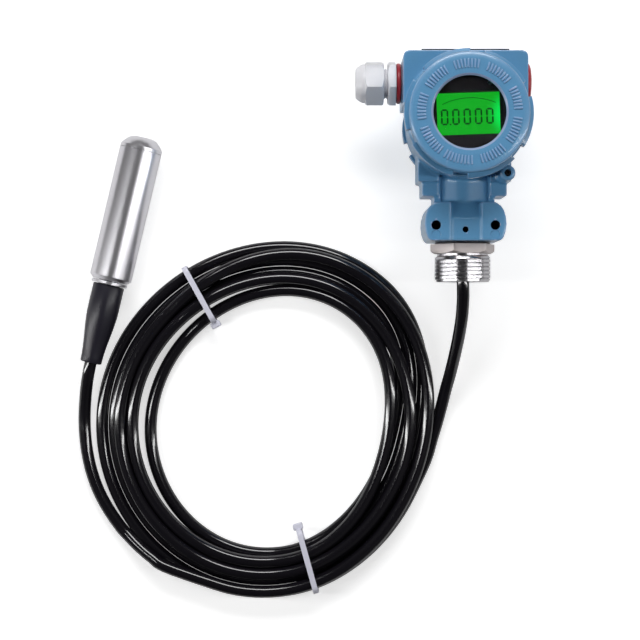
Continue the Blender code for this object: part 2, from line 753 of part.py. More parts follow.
def build_terminals():
    """The terminal block on the rear of the partition, with its screws and the ground screw."""
    top = partition_rear_z - gap
    face = top - terminal_depth
    half = terminal_width / 2
    block = prism("terminal_block", box_outline(-half, half, terminal_y - terminal_height / 2,
                                                terminal_y + terminal_height / 2),
                  face, top, terminal_plastic)
    first = -(terminal_count - 1) * terminal_pitch / 2
    for number in range(terminal_count):
        x = first + number * terminal_pitch
        seat = face + terminal_head_height + 2 * gap
        cut(block, cut_rod("terminal_head", terminal_head_radius + gap, face - mm, seat,
                           small_sides, (x, terminal_y, 0.0)))
        cut(block, cut_rod("terminal_shank", terminal_screw_radius + gap, seat - mm,
                           seat + terminal_screw_length + gap, 12, (x, terminal_y, 0.0)))
        pan_screw("terminal_screw_%d" % (number + 1), terminal_screw_radius,
                  terminal_head_radius, terminal_head_height, terminal_screw_length,
                  bright_screw, (x, terminal_y, seat - gap), -up_z)
    pan_screw("ground_screw", terminal_screw_radius, terminal_head_radius, terminal_head_height,
              2.0 * mm, bright_screw, (ground_screw_x, ground_screw_y, top), -up_z)


def build_nameplate():
    """A bare plate on top of the entry box, held by two rivets."""
    low = box_top_y + gap
    high = low + plate_thickness
    half_x = plate_width / 2
    half_z = plate_depth / 2
    plate = prism("nameplate", box_outline(-half_x, half_x, -half_z, half_z), low, high,
                  plate_metal, (0.0, 0.0, axis_z), plate_out)
    for x, side in zip(rivet_places(), ("left", "right")):
        cut(plate, cut_rod("plate_rivet", rivet_radius + gap, low - mm, high + mm, 12,
                           (x, 0.0, axis_z), plate_out))
        head = high + gap
        turned("nameplate_rivet_" + side,
               [(0.0, head - rivet_length), (rivet_radius, head - rivet_length),
                (rivet_radius, head), (rivet_head_radius, head),
                (rivet_head_radius * 0.7, head + rivet_head_height * 0.8),
                (0.0, head + rivet_head_height)],
               bright_screw, 12, (x, 0.0, axis_z), plate_out)


def build_gland():
    """The white cable gland in the left entry: washer, body, rubber insert and dome nut."""
    place = (0.0, entry_y, entry_height())
    washer_low = box_half_width + gap
    washer_high = washer_low + washer_thickness
    turned("gland_washer", ring_profile(gland_shank_radius + gap, washer_radius, washer_low,
                                        washer_high), red_plastic, round_sides, place, gland_out)
    hex_low = washer_high + gap
    hex_high = hex_low + gland_hex_thickness
    thread_end = hex_high + gland_thread_length
    body = prism("gland_body", hexagon(gland_across_flats, math.radians(15)), hex_low, hex_high,
                 white_plastic, place, gland_out)
    shank = rod_profile(gland_shank_radius, hex_low - gap - washer_thickness - gland_shank_length,
                        hex_low + mm)
    neck = rod_profile(gland_thread_radius, hex_high - mm, thread_end)
    add(body, turned("form_gland_shank", shank, None, round_sides, place, gland_out),
        turned("form_gland_thread", neck, None, round_sides, place, gland_out))
    cut(body, cut_rod("gland_bore", gland_bore_radius, 0.0, thread_end + mm, small_sides + 4,
                      place, gland_out))

    nut_low = hex_high + gland_nut_space
    nut_high = nut_low + gland_nut_length
    dome_low = nut_high - gland_dome_length
    wall_z = nut_high - gland_end_wall
    nut_bore = gland_thread_radius + gap
    nut = prism("gland_nut", hexagon(gland_across_flats, math.radians(15)), nut_low, dome_low,
                white_plastic, place, gland_out)
    base = gland_across_flats / 2
    dome = [(0.0, dome_low - mm), (base - 0.4 * mm, dome_low - mm),
            (base - 0.4 * mm, dome_low + 0.5 * mm)]
    for step in range(1, 5):
        lean = step * math.pi / 10
        dome.append((base - 4.2 * mm * (1 - math.cos(lean)),
                     dome_low + 0.5 * mm + (gland_dome_length - 0.5 * mm) * step / 4))
    dome.append((0.0, nut_high))
    add(nut, turned("form_gland_dome", dome, None, round_sides, place, gland_out))
    hollow = [(0.0, nut_low - mm), (nut_bore, nut_low - mm), (nut_bore, wall_z),
              (gland_end_radius, wall_z), (gland_end_radius, nut_high + mm), (0.0, nut_high + mm)]
    cut(nut, turned("cut_gland_nut", hollow, None, round_sides, place, gland_out))

    seal_low = thread_end + gap
    seal_high = wall_z - gap
    nose = gland_end_radius - gap
    turned("gland_insert", [(insert_bore_radius, seal_low), (nut_bore - gap, seal_low),
                            (nut_bore - gap, seal_high), (nose, seal_high),
                            (nose, nut_high - mm), (insert_bore_radius, nut_high - mm)],
           black_rubber, small_sides + 4, place, gland_out)


def build_plug():
    """The red transport plug pushed into the right entry."""
    low = box_half_width + gap
    bottom = low - plug_shank_length
    inner = plug_shank_radius - plug_wall
    profile = [(0.0, low), (inner, low), (inner, bottom), (plug_shank_radius - 0.5 * mm, bottom),
               (plug_shank_radius, bottom + 0.5 * mm), (plug_shank_radius, low),
               (plug_radius, low), (plug_radius, low + plug_rim),
               (plug_radius - 1.6 * mm, low + plug_height - 0.5 * mm),
               (plug_radius * 0.55, low + plug_height), (0.0, low + plug_height)]
    turned("conduit_plug", profile, red_plastic, round_sides,
           (0.0, entry_y, entry_height()), plug_out)


def build_connector():
    """The process connector: stub, hexagon and pipe thread, with its gasket and cable bush."""
    place = (0.0, 0.0, axis_z)
    gasket_low = -block_base_y + gap
    turned("connector_gasket", ring_profile(connector_stub_radius + gap, connector_gasket_radius,
                                            gasket_low, gasket_low + connector_gasket_thickness),
           black_rubber, round_sides, place, cable_down)
    hexagon_form = prism("process_connector", hexagon(connector_hex_flats, connector_hex_turn),
                         -connector_top_y, -connector_hex_base_y, grey_metal, place, cable_down)
    stub = rod_profile(connector_stub_radius, -block_base_y - connector_stub_length,
                       -connector_top_y + mm)
    crest = connector_thread_radius
    root = crest - connector_thread_depth
    start = -connector_hex_base_y
    thread = [(0.0, start - mm), (connector_relief_radius, start - mm),
              (connector_relief_radius, start + connector_relief_length)]
    for number in range(connector_threads):
        low = -connector_thread_y + number * connector_thread_pitch
        thread += [(crest, low + connector_thread_pitch / 2),
                   (root, low + connector_thread_pitch)]
    thread += [(root, -connector_end_y), (0.0, -connector_end_y)]
    add(hexagon_form, turned("form_stub", stub, None, round_sides, place, cable_down),
        turned("form_thread", thread, None, round_sides, place, cable_down))
    bush_low = -connector_end_y - bush_length
    hollow = [(0.0, 0.0), (connector_bore_radius, 0.0), (connector_bore_radius, bush_low - gap),
              (bush_radius + gap, bush_low - gap), (bush_radius + gap, -connector_end_y + mm),
              (0.0, -connector_end_y + mm)]
    cut(hexagon_form, turned("cut_connector_bore", hollow, None, small_sides + 8, place,
                             cable_down))
    turned("cable_bush", ring_profile(cable_radius + gap, bush_radius, bush_low,
                                      -connector_end_y), black_rubber, small_sides + 8, place,
           cable_down)


def build_lock_screw():
    """The socket set screw that keeps the front cover from turning."""
    top = barrel_front_z - 2 * gap
    radius = lock_hole_radius - gap
    screw = turned("lock_screw", rod_profile(radius, top - lock_screw_length + gap, top,
                                             0.3 * mm), bright_screw, small_sides,
                   (lock_boss_x, lock_boss_y, 0.0))
    cut(screw, prism("cut_socket", hexagon(radius * 1.1), top - 2 * mm, top + mm, None,
                     (lock_boss_x, lock_boss_y, 0.0)))


def coil_radius(angle, outer):
    """Distance from the coil's centre to its outer or inner edge at an angle."""
    sway = (coil_oval * math.cos(2 * (angle - coil_oval_angle))
            + coil_lobe * math.cos(3 * (angle - coil_lobe_angle)))
    if outer:
        return coil_outer_radius + sway
    return (coil_inner_radius + sway
            + coil_hole_shift * math.cos(angle - coil_hole_shift_angle))


def coil_lift(angle):
    """The coil rides up over the ties that pass under it."""
    lift = 0.0
    for tie_angle in tie_angles.values():
        away = math.remainder(angle - tie_angle, 2 * math.pi) / tie_lift_spread
        lift += (tie_thickness + gap) * min(1.0, 1.6 * math.exp(-away * away))
    return lift


def build_coil():
    """The bound coil as one ring with rounded edges."""
    stations = 60
    corner = coil_corner
    bm = bmesh.new()
    rings = []
    for station in range(stations):
        angle = 2 * math.pi * station / stations
        inner = coil_radius(angle, False)
        outer = coil_radius(angle, True)
        low = coil_lift(angle)
        high = low + coil_height
        section = [(inner + corner, low), (outer - corner, low), (outer, low + corner),
                   (outer, high - corner), (outer - corner, high), (inner + corner, high),
                   (inner, high - corner), (inner, low + corner)]
        rings.append([bm.verts.new((coil_x + radius * math.cos(angle),
                                    coil_y + radius * math.sin(angle), height))
                      for radius, height in section])
    for ring, after in zip(rings, rings[1:] + rings[:1]):
        for k in range(len(ring)):
            n = (k + 1) % len(ring)
            bm.faces.new((ring[k], ring[n], after[n], after[k]))
    make_object("cable_coil", bm, black_cable)


def build_tie(name, angle):
    """A strap looped round the coil's section, with its lock head at the inner edge."""
    inner = coil_radius(angle, False) - gap
    outer = coil_radius(angle, True) + gap
    top = coil_lift(angle) + coil_height + gap
    t = tie_thickness
    bend = coil_corner
    hole = [(inner + bend, t), (outer - bend, t), (outer, t + bend), (outer, top - bend),
            (outer - bend, top), (inner + bend, top), (inner, top - bend), (inner, t + bend)]
    skin = [(inner + bend, 0.0), (outer - bend, 0.0), (outer + t, t + bend),
            (outer + t, top - bend), (outer - bend, top + t), (inner + bend, top + t),
            (inner - t, top - bend), (inner - t, t + bend)]
    bm = bmesh.new()
    loops = []
    for side in (-tie_width / 2, tie_width / 2):
        loops.append([[bm.verts.new((x, side, z)) for x, z in line] for line in (hole, skin)])
    count = len(hole)
    for k in range(count):
        n = (k + 1) % count
        for near, far in ((loops[0][0], loops[1][0]), (loops[0][1], loops[1][1])):
            bm.faces.new((near[k], near[n], far[n], far[k]))
        for rim in loops:
            bm.faces.new((rim[0][k], rim[0][n], rim[1][n], rim[1][k]))
    place = Matrix.Translation((coil_x, coil_y, 0.0)) @ Matrix.Rotation(angle, 4, "Z")
    bm.transform(place)
    strap = make_object("tie_" + name, bm, tie_plastic)
    head_high = top - bend
    head_bm = prism_bmesh(box_outline(inner - t / 2 - tie_head_depth, inner - t / 2,
                                      -tie_head_width / 2, tie_head_width / 2),
                          head_high - tie_head_height, head_high)
    head_bm.transform(place)
    add(strap, soften(make_object("form_tie_head_" + name, head_bm, None), 0.5 * mm, 1))


def smooth_route(points):
    """A smooth curve through hand-placed points, sampled for a straight-sided spline."""
    points = [Vector(point) for point in points]
    padded = [2 * points[0] - points[1]] + points + [2 * points[-1] - points[-2]]
    route = []
    for before, start, end, after in zip(padded, padded[1:], padded[2:], padded[3:]):
        for step in range(lead_steps):
            t = step / lead_steps
            route.append(0.5 * (2 * start + (end - before) * t
                                + (2 * before - 5 * start + 4 * end - after) * t ** 2
                                + (3 * start - before - 3 * end + after) * t ** 3))
    return route + [points[-1]]


def build_lead(name, points):
    """A free stretch of cable as a tube along a route."""
    curve = bpy.data.curves.new(name, "CURVE")
    curve.dimensions = "3D"
    curve.bevel_depth = cable_radius
    curve.bevel_resolution = 2
    curve.render_resolution_u = 0
    curve.use_fill_caps = True
    route = smooth_route(points)
    spline = curve.splines.new("POLY")
    spline.points.add(len(route) - 1)
    for point, place in zip(spline.points, route):
        point.co = (*place, 1.0)
    curve.materials.append(black_cable)
    bpy.context.scene.collection.objects.link(bpy.data.objects.new(name, curve))


def build_probe():
    """The steel probe with its sensing cell, cap, board, collar and cable boot."""
    length = probe_length
    edge = probe_shoulder
    seat = length - cell_seat_depth
    tube = [(probe_inlet_radius, 0.0), (probe_radius - edge, 0.0), (probe_radius, edge),
            (probe_radius, length), (cap_thread_radius, length),
            (cap_thread_radius, length - cap_thread_length), (cell_seat_radius,
                                                              length - cap_thread_length),
            (cell_seat_radius, seat), (probe_cavity_radius - 2 * mm, seat),
            (probe_cavity_radius - 2 * mm, seat - 2 * mm), (probe_cavity_radius, seat - 4 * mm),
            (probe_cavity_radius, probe_floor), (probe_inlet_radius, probe_floor)]
    turned("probe_tube", tube, steel, round_sides, probe_origin, probe_out)

    cell_radius = cell_seat_radius - gap
    cell_low = seat + gap
    groove = cell_radius - 2 * cell_ring_radius
    ring_z = cell_low + cell_length / 2
    half = cell_ring_radius + gap
    turned("sensor_cell", [(0.0, cell_low), (cell_radius, cell_low), (cell_radius, ring_z - half),
                           (groove, ring_z - half), (groove, ring_z + half),
                           (cell_radius, ring_z + half), (cell_radius, cell_low + cell_length),
                           (cell_radius - 2 * mm, cell_low + cell_length),
                           (cell_radius - 2.4 * mm, cell_low + cell_length - 0.8 * mm),
                           (0.0, cell_low + cell_length - 0.8 * mm)],
           ceramic, round_sides, probe_origin, probe_out)
    turned("sensor_oring", seal_profile(groove + gap + cell_ring_radius, ring_z,
                                        cell_ring_radius - 0.02 * mm), black_rubber, round_sides,
           probe_origin, probe_out)
    half_board = probe_board_width / 2
    prism("probe_board", box_outline(-board_thickness / 2, board_thickness / 2, -half_board,
                                     half_board), cell_low - gap - probe_board_length,
          cell_low - gap, board_green, probe_origin, probe_out)

    cap_low = length + gap
    dome_low = cap_low + cap_height
    top = dome_low + cap_dome
    spigot = cap_thread_radius - gap
    ring_cord = 0.7 * mm
    neck = spigot - 2 * ring_cord
    groove_high = cap_low - 0.9 * mm
    groove_low = groove_high - 2 * ring_cord - 2 * gap
    end = length - cap_thread_length + gap
    inner = neck - cap_spigot_wall
    cap = [(cap_hole_radius, top), (cap_hole_radius, cap_low), (inner, cap_low), (inner, end),
           (spigot, end), (spigot, groove_low), (neck, groove_low), (neck, groove_high),
           (spigot, groove_high), (spigot, cap_low), (probe_radius, cap_low)]
    for step in range(5):
        lean = step * math.pi / 8
        cap.append((cap_nose_radius + (probe_radius - cap_nose_radius) * math.cos(lean),
                    dome_low + cap_dome * math.sin(lean)))
    turned("probe_cap", cap, steel, round_sides, probe_origin, probe_out)
    turned("probe_cap_oring", seal_profile(neck + gap / 2 + ring_cord,
                                           (groove_low + groove_high) / 2,
                                           ring_cord - 0.02 * mm),
           black_rubber, round_sides, probe_origin, probe_out)

    collar_high = -gap
    collar_low = collar_high - collar_length
    turned("probe_collar", ring_profile(probe_inlet_radius, collar_radius, collar_low,
                                        collar_high), steel, round_sides, probe_origin, probe_out)
    boot_high = collar_low - gap
    boot_low = boot_high - boot_length
    spigot_radius = probe_inlet_radius - gap
    hole = cable_radius + gap
    boot = [(hole, boot_low), (boot_end_radius - 0.8 * mm, boot_low),
            (boot_end_radius, boot_low + 0.8 * mm), (boot_radius, boot_high - boot_straight),
            (boot_radius, boot_high - 0.6 * mm), (boot_radius - 0.6 * mm, boot_high),
            (spigot_radius, boot_high), (spigot_radius, boot_high + boot_spigot_length),
            (hole, boot_high + boot_spigot_length)]
    turned("probe_boot", boot, black_rubber, small_sides + 8, probe_origin, probe_out)


clear_objects()
build_housing()
build_nameplate()
build_front_cover()
build_rear_cover()
build_display()
build_terminals()
build_gland()
build_plug()
build_connector()
build_lock_screw()
build_coil()
for tie_name, tie_angle in tie_angles.items():
    build_tie(tie_name, tie_angle)
build_lead("cable_lead_head", head_lead_points)
build_lead("cable_lead_probe", probe_lead_points)
build_probe()
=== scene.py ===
import math

import bpy
from mathutils import Matrix, Vector


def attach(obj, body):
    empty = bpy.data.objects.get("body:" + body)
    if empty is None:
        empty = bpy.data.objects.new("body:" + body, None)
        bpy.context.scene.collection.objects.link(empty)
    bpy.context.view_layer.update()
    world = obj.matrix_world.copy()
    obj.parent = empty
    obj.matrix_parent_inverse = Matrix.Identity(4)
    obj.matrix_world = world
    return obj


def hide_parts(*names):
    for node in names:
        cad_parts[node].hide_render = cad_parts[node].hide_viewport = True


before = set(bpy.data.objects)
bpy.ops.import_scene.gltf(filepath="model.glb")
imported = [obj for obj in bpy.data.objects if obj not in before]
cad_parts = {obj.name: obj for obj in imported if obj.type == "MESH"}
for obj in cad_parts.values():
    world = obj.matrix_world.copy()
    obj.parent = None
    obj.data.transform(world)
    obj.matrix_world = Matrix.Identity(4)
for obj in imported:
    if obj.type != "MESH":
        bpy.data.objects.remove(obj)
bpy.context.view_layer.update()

for leftOver in ("Cube", "Light", "Camera"):
    if leftOver in bpy.data.objects:
        bpy.data.objects.remove(bpy.data.objects[leftOver])
mm = 0.001
up = Vector((0, 0, 1))
threadWay = Vector((0, -1, 0))
origin = Vector((0, 0, 0))
print("frame loaded:", len(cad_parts), "nodes")

# The camera looks straight down, as the photograph does
camera = {"place": (-84.6, -117.6, 1100.0), "sensor": 36.0, "lens": 99.48}


def addCamera():
    lens = bpy.data.cameras.new("topCamera")
    lens.sensor_width = camera["sensor"]
    lens.lens = camera["lens"]
    lens.clip_start = 0.05
    lens.clip_end = 20.0
    holder = bpy.data.objects.new("topCamera", lens)
    holder.location = Vector(camera["place"]) * mm
    bpy.context.scene.collection.objects.link(holder)
    bpy.context.scene.camera = holder


addCamera()
print("camera placed")

# The cable: two free leads and a coil of two layers, wound clockwise seen from above
cable = {
    "radius": 3.8, "axisZ": 50.0, "exitY": -95.05,
    "coilCentre": (-116.5, -178.5), "outerRadius": 108.1, "innerRadius": 71.3,
    "oval": 4.0, "ovalAngle": 62.0, "lobe": 1.3, "lobeAngle": 46.0,
    "holeShift": 3.2, "holeShiftAngle": 40.0,
    "tieAngles": (119.0, -74.5), "tieThickness": 1.4, "tieSpread": 9.0,
    "startAngle": -2.0, "firstTurn": 0.064, "climbFrom": 3.6, "climbTo": 3.95, "lastTurn": 6.30,
    "lanes": ((0, 0, 0), (0.86, 0, 0), (1.02, 7.8, 0), (1.86, 7.8, 0), (2.02, 15.6, 0),
              (2.86, 15.6, 0), (3.02, 23.4, 0), (3.2, 23.4, 0), (3.6, 0, 1), (3.95, 0, 1),
              (4.2, 19.5, 0), (4.86, 19.5, 0), (5.06, 11.7, 0), (5.6, 11.7, 0), (5.8, 3.9, 0),
              (6.3, 1.0, 0)),
    "pointsPerTurn": 40, "leadSteps": 4,
}
headLeadPoints = [
    (0.0, -88.05, 50.0), (0.3, -97.0, 49.9), (0.5, -105.5, 48.0), (0.1, -116.5, 42.6),
    (-1.1, -128.0, 34.2), (-2.8, -139.5, 24.4), (-4.8, -150.5, 15.5), (-7.2, -160.9, 9.2),
    (-9.3, -170.0, 6.6), (-11.9, -180.0, 5.0), (-15.0, -190.5, 4.2), (-19.0, -204.0, 3.8),
]
probe = {"origin": (-213.7, -93.6, 13.0), "heading": 76.7, "radius": 13.0, "length": 82.0}
probeAxis = Vector((math.cos(math.radians(probe["heading"])),
                    math.sin(math.radians(probe["heading"])), 0))
probeOrigin = Vector(probe["origin"])
probeLeadPoints = [
    (-179.8, -269.4, 11.2), (-187.8, -264.2, 9.8), (-195.8, -258.0, 7.2), (-203.0, -251.3, 4.8),
    (-208.4, -245.4, 3.9), (-216.2, -234.0, 3.8), (-222.2, -222.5, 3.8), (-226.4, -210.5, 3.8),
    (-229.0, -198.5, 3.8), (-230.2, -187.5, 3.8), (-230.5, -178.5, 3.9), (-230.0, -169.5, 5.2),
    (-228.9, -160.5, 8.4), (-227.3, -152.0, 11.9),
    tuple(probeOrigin - probeAxis * 51.5), tuple(probeOrigin - probeAxis * 41.0),
]


def coilEdge(angle, outer):
    sway = (cable["oval"] * math.cos(2 * (angle - math.radians(cable["ovalAngle"])))
            + cable["lobe"] * math.cos(3 * (angle - math.radians(cable["lobeAngle"]))))
    if outer:
        return cable["outerRadius"] + sway
    shift = cable["holeShift"] * math.cos(angle - math.radians(cable["holeShiftAngle"]))
    return cable["innerRadius"] + sway + shift


def tieLift(angle):
    lift = 0.0
    for tieAngle in cable["tieAngles"]:
        away = math.remainder(angle - math.radians(tieAngle), 2 * math.pi)
        away /= math.radians(cable["tieSpread"])
        lift += cable["tieThickness"] * min(1.0, 1.6 * math.exp(-away * away))
    return lift


def eased(share):
    share = max(0.0, min(1.0, share))
    return share * share * (3 - 2 * share)


def laneAt(turn):
    # distance in from the coil's outer edge, in mm and as a share of the coil's width
    lanes = cable["lanes"]
    for (start, *here), (end, *there) in zip(lanes, lanes[1:]):
        if turn <= end:
            share = eased((turn - start) / (end - start))
            return [a + (b - a) * share for a, b in zip(here, there)]
    return lanes[-1][1:]


def coilTurns():
    places = []
    span = cable["lastTurn"] - cable["firstTurn"]
    count = round(span * cable["pointsPerTurn"])
    for number in range(count + 1):
        turn = cable["firstTurn"] + span * number / count
        angle = math.radians(cable["startAngle"]) - 2 * math.pi * turn
        climb = eased((turn - cable["climbFrom"]) / (cable["climbTo"] - cable["climbFrom"]))
        inner = coilEdge(angle, False) + cable["radius"]
        outer = coilEdge(angle, True) - cable["radius"]
        inset, share = laneAt(turn)
        radius = outer - inset - (outer - inner) * share
        height = cable["radius"] * (1 + 2 * climb) + tieLift(angle)
        places.append((cable["coilCentre"][0] + radius * math.cos(angle),
                       cable["coilCentre"][1] + radius * math.sin(angle), height))
    return places


def smoothRoute(points, steps):
    # a Catmull-Rom curve through the points
    points = [Vector(point) for point in points]
    padded = [2 * points[0] - points[1]] + points + [2 * points[-1] - points[-2]]
    route = []
    for before, start, end, after in zip(padded, padded[1:], padded[2:], padded[3:]):
        for step in range(steps):
            t = step / steps
            route.append(0.5 * (2 * start + (end - before) * t
                                + (2 * before - 5 * start + 4 * end - after) * t ** 2
                                + (3 * start - before - 3 * end + after) * t ** 3))
    return route + [points[-1]]


def layCable():
    curve = bpy.data.curves.new("cable", "CURVE")
    curve.dimensions = "3D"
    curve.bevel_depth = 1.0
    curve.bevel_resolution = 6
    curve.use_fill_caps = True
    route = smoothRoute(headLeadPoints + coilTurns() + probeLeadPoints, cable["leadSteps"])
    spline = curve.splines.new("POLY")
    spline.points.add(len(route) - 1)
    for point, place in zip(spline.points, route):
        point.co = (*(place * mm), 1.0)
        point.radius = cable["radius"] * mm
    spline.use_smooth = True
    piece = bpy.data.objects.new("cable", curve)
    bpy.context.scene.collection.objects.link(piece)
    length = sum((after - place).length for place, after in zip(route, route[1:]))
    print("cable laid:", round(length), "mm long")
    return piece, length


cablePiece, cableLength = layCable()
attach(cablePiece, "head")
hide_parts("cable_lead_head", "cable_coil", "cable_lead_probe")


def plain():
    if bpy.context.mode != "OBJECT":
        bpy.ops.object.mode_set(mode="OBJECT")
    bpy.ops.object.select_all(action="DESELECT")


def pick(*pieces):
    plain()
    for piece in pieces:
        piece.select_set(True)
    bpy.context.view_layer.objects.active = pieces[0]


def modify(piece, kind, **values):
    pick(piece)
    modifier = piece.modifiers.new(kind, kind)
    for name, value in values.items():
        setattr(modifier, name, value)
    bpy.ops.object.modifier_apply(modifier=modifier.name)
    return piece


def bevelEdges(piece, width, segments=2, angle=30):
    return modify(piece, "BEVEL", width=width * mm, segments=segments, limit_method="ANGLE",
                  angle_limit=math.radians(angle))


def smooth(piece, angle=32):
    pick(piece)
    bpy.ops.object.shade_smooth_by_angle(angle=math.radians(angle))
    return piece


def drawLine(name, corners):
    # a line of edges is drawn corner by corner from one point, and stays in edit mode
    plain()
    corners = [Vector(corner) * mm for corner in corners]
    bpy.ops.mesh.primitive_plane_add(size=mm)
    piece = bpy.context.object
    piece.name = name
    piece.data.name = name
    bpy.ops.object.mode_set(mode="EDIT")
    bpy.ops.mesh.select_mode(type="VERT")
    bpy.ops.mesh.merge(type="CENTER")
    bpy.ops.transform.translate(value=corners[0])
    for before, corner in zip(corners, corners[1:]):
        bpy.ops.mesh.extrude_region_move(TRANSFORM_OT_translate={"value": corner - before})
    bpy.ops.mesh.select_all(action="SELECT")
    bpy.ops.mesh.remove_doubles(threshold=0.000001)
    bpy.ops.mesh.select_all(action="SELECT")
    return piece


def sideOf(axis):
    side = Vector((0, 1, 0)).cross(axis)
    return side.normalized() if side.length > 0.1 else Vector((1, 0, 0))


def turnPiece(name, profile, centre=origin, axis=up, steps=96, startTurn=0.0, ring=False):
    # profile is (radius, height) corners beside the axis, spun right round it
    side = sideOf(axis)
    side.rotate(Matrix.Rotation(math.radians(startTurn), 3, axis))
    if ring:
        profile = profile + [profile[0]]
    corners = [Vector(centre) + axis * height + side * radius for radius, height in profile]
    piece = drawLine(name, corners)
    bpy.ops.mesh.spin(steps=steps, angle=2 * math.pi, center=Vector(centre) * mm, axis=axis)
    bpy.ops.mesh.select_all(action="SELECT")
    bpy.ops.mesh.remove_doubles(threshold=0.000001)
    bpy.ops.mesh.normals_make_consistent(inside=False)
    bpy.ops.object.mode_set(mode="OBJECT")
    return piece


def prismPiece(name, corners, rise):
    # a closed outline is filled and pulled along rise
    piece = drawLine(name, list(corners) + [corners[0]])
    bpy.ops.mesh.edge_face_add()
    bpy.ops.mesh.extrude_region_move(TRANSFORM_OT_translate={"value": Vector(rise) * mm})
    bpy.ops.mesh.select_all(action="SELECT")
    bpy.ops.mesh.normals_make_consistent(inside=False)
    bpy.ops.object.mode_set(mode="OBJECT")
    return piece


def blockPiece(name, one, other):
    low = Vector([min(pair) for pair in zip(one, other)])
    high = Vector([max(pair) for pair in zip(one, other)])
    corners = [(low.x, low.y, low.z), (high.x, low.y, low.z), (high.x, high.y, low.z),
               (low.x, high.y, low.z)]
    return prismPiece(name, corners, (0, 0, high.z - low.z))


def hexagonCorners(flats, centre, axis, turn=0.0):
    side = sideOf(axis)
    other = axis.cross(side)
    radius = flats / math.sqrt(3)
    return [Vector(centre) + side * radius * math.cos(math.radians(turn + 60 * number))
            + other * radius * math.sin(math.radians(turn + 60 * number)) for number in range(6)]


def rod(*sections):
    # half outline of a stepped rod, from its (radius, low, high) sections in order
    corners = [(0, sections[0][1])]
    for radius, low, high in sections:
        corners += [(radius, low), (radius, high)]
    return corners + [(0, sections[-1][2])]


def band(inner, outer, low, high):
    # section of a plain ring
    return [(inner, low), (outer, low), (outer, high), (inner, high)]


def bevelled(inner, outer, low, high, edge):
    # section of a ring or disc with its outer corners cut off
    return [(inner, low), (outer - edge, low), (outer, low + edge), (outer, high - edge),
            (outer - edge, high), (inner, high)]


def carve(piece, *tools, operation="DIFFERENCE", solver="EXACT"):
    for tool in tools:
        modify(piece, "BOOLEAN", object=tool, operation=operation, solver=solver)
        bpy.data.objects.remove(tool)
    return piece


def joinPieces(first, *others):
    pick(first, *others)
    bpy.ops.object.join()
    return first


def selectFaces(piece, test):
    pick(piece)
    bpy.ops.object.mode_set(mode="EDIT")
    bpy.ops.mesh.select_mode(type="FACE")
    bpy.ops.mesh.select_all(action="DESELECT")
    bpy.ops.object.mode_set(mode="OBJECT")
    for face in piece.data.polygons:
        face.select = test(face.center / mm, face.normal)
    bpy.ops.object.mode_set(mode="EDIT")


def place(piece, finish, slot, body="head", replaces=()):
    pick(piece)
    piece.data.materials.clear()
    piece.data.materials.append(materials[finish])
    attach(piece, body)
    if replaces:
        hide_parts(*replaces)
    return piece


def setSockets(node, values):
    for socket, value in values.items():
        node.inputs[socket].default_value = value


def addNode(tree, kind, sockets=None, **settings):
    node = tree.nodes.new("ShaderNode" + kind)
    for name, value in settings.items():
        setattr(node, name, value)
    setSockets(node, sockets or {})
    return node


def linkAll(tree, *links):
    for source, output, target, socket in links:
        tree.links.new(source.outputs[output], target.inputs[socket])


def startMaterial(name):
    material = bpy.data.materials.new(name)
    material.use_nodes = True
    tree = material.node_tree
    return material, tree, tree.nodes["Principled BSDF"]


# Grain group: soft mottling and a fine texture, for most of the finishes
def makeGrainGroup():
    group = bpy.data.node_groups.new("surfaceGrain", "ShaderNodeTree")
    for name, value in (("Scale", 400.0), ("Fineness", 4.0), ("Balance", 0.5)):
        socket = group.interface.new_socket(name, in_out="INPUT", socket_type="NodeSocketFloat")
        socket.default_value = value
    group.interface.new_socket("Vector", in_out="INPUT", socket_type="NodeSocketVector")
    for name in ("Tone", "Height"):
        group.interface.new_socket(name, in_out="OUTPUT", socket_type="NodeSocketFloat")
    given = group.nodes.new("NodeGroupInput")
    result = group.nodes.new("NodeGroupOutput")
    broad = addNode(group, "TexNoise", {"Detail": 3.0})
    fine = addNode(group, "TexNoise", {"Detail": 2.0})
    finer = addNode(group, "Math", operation="MULTIPLY")
    linkAll(group, (given, "Vector", broad, "Vector"), (given, "Vector", fine, "Vector"),
            (given, "Scale", broad, "Scale"), (given, "Scale", finer, 0),
            (given, "Fineness", finer, 1), (finer, 0, fine, "Scale"))
    blendTone = addNode(group, "Mix")
    blendHeight = addNode(group, "Mix", {"Factor": 0.7})
    linkAll(group, (given, "Balance", blendTone, "Factor"))
    for blend, output in ((blendTone, "Tone"), (blendHeight, "Height")):
        linkAll(group, (broad, "Fac", blend, "A"), (fine, "Fac", blend, "B"),
                (blend, "Result", result, output))
    return group


grainGroup = makeGrainGroup()


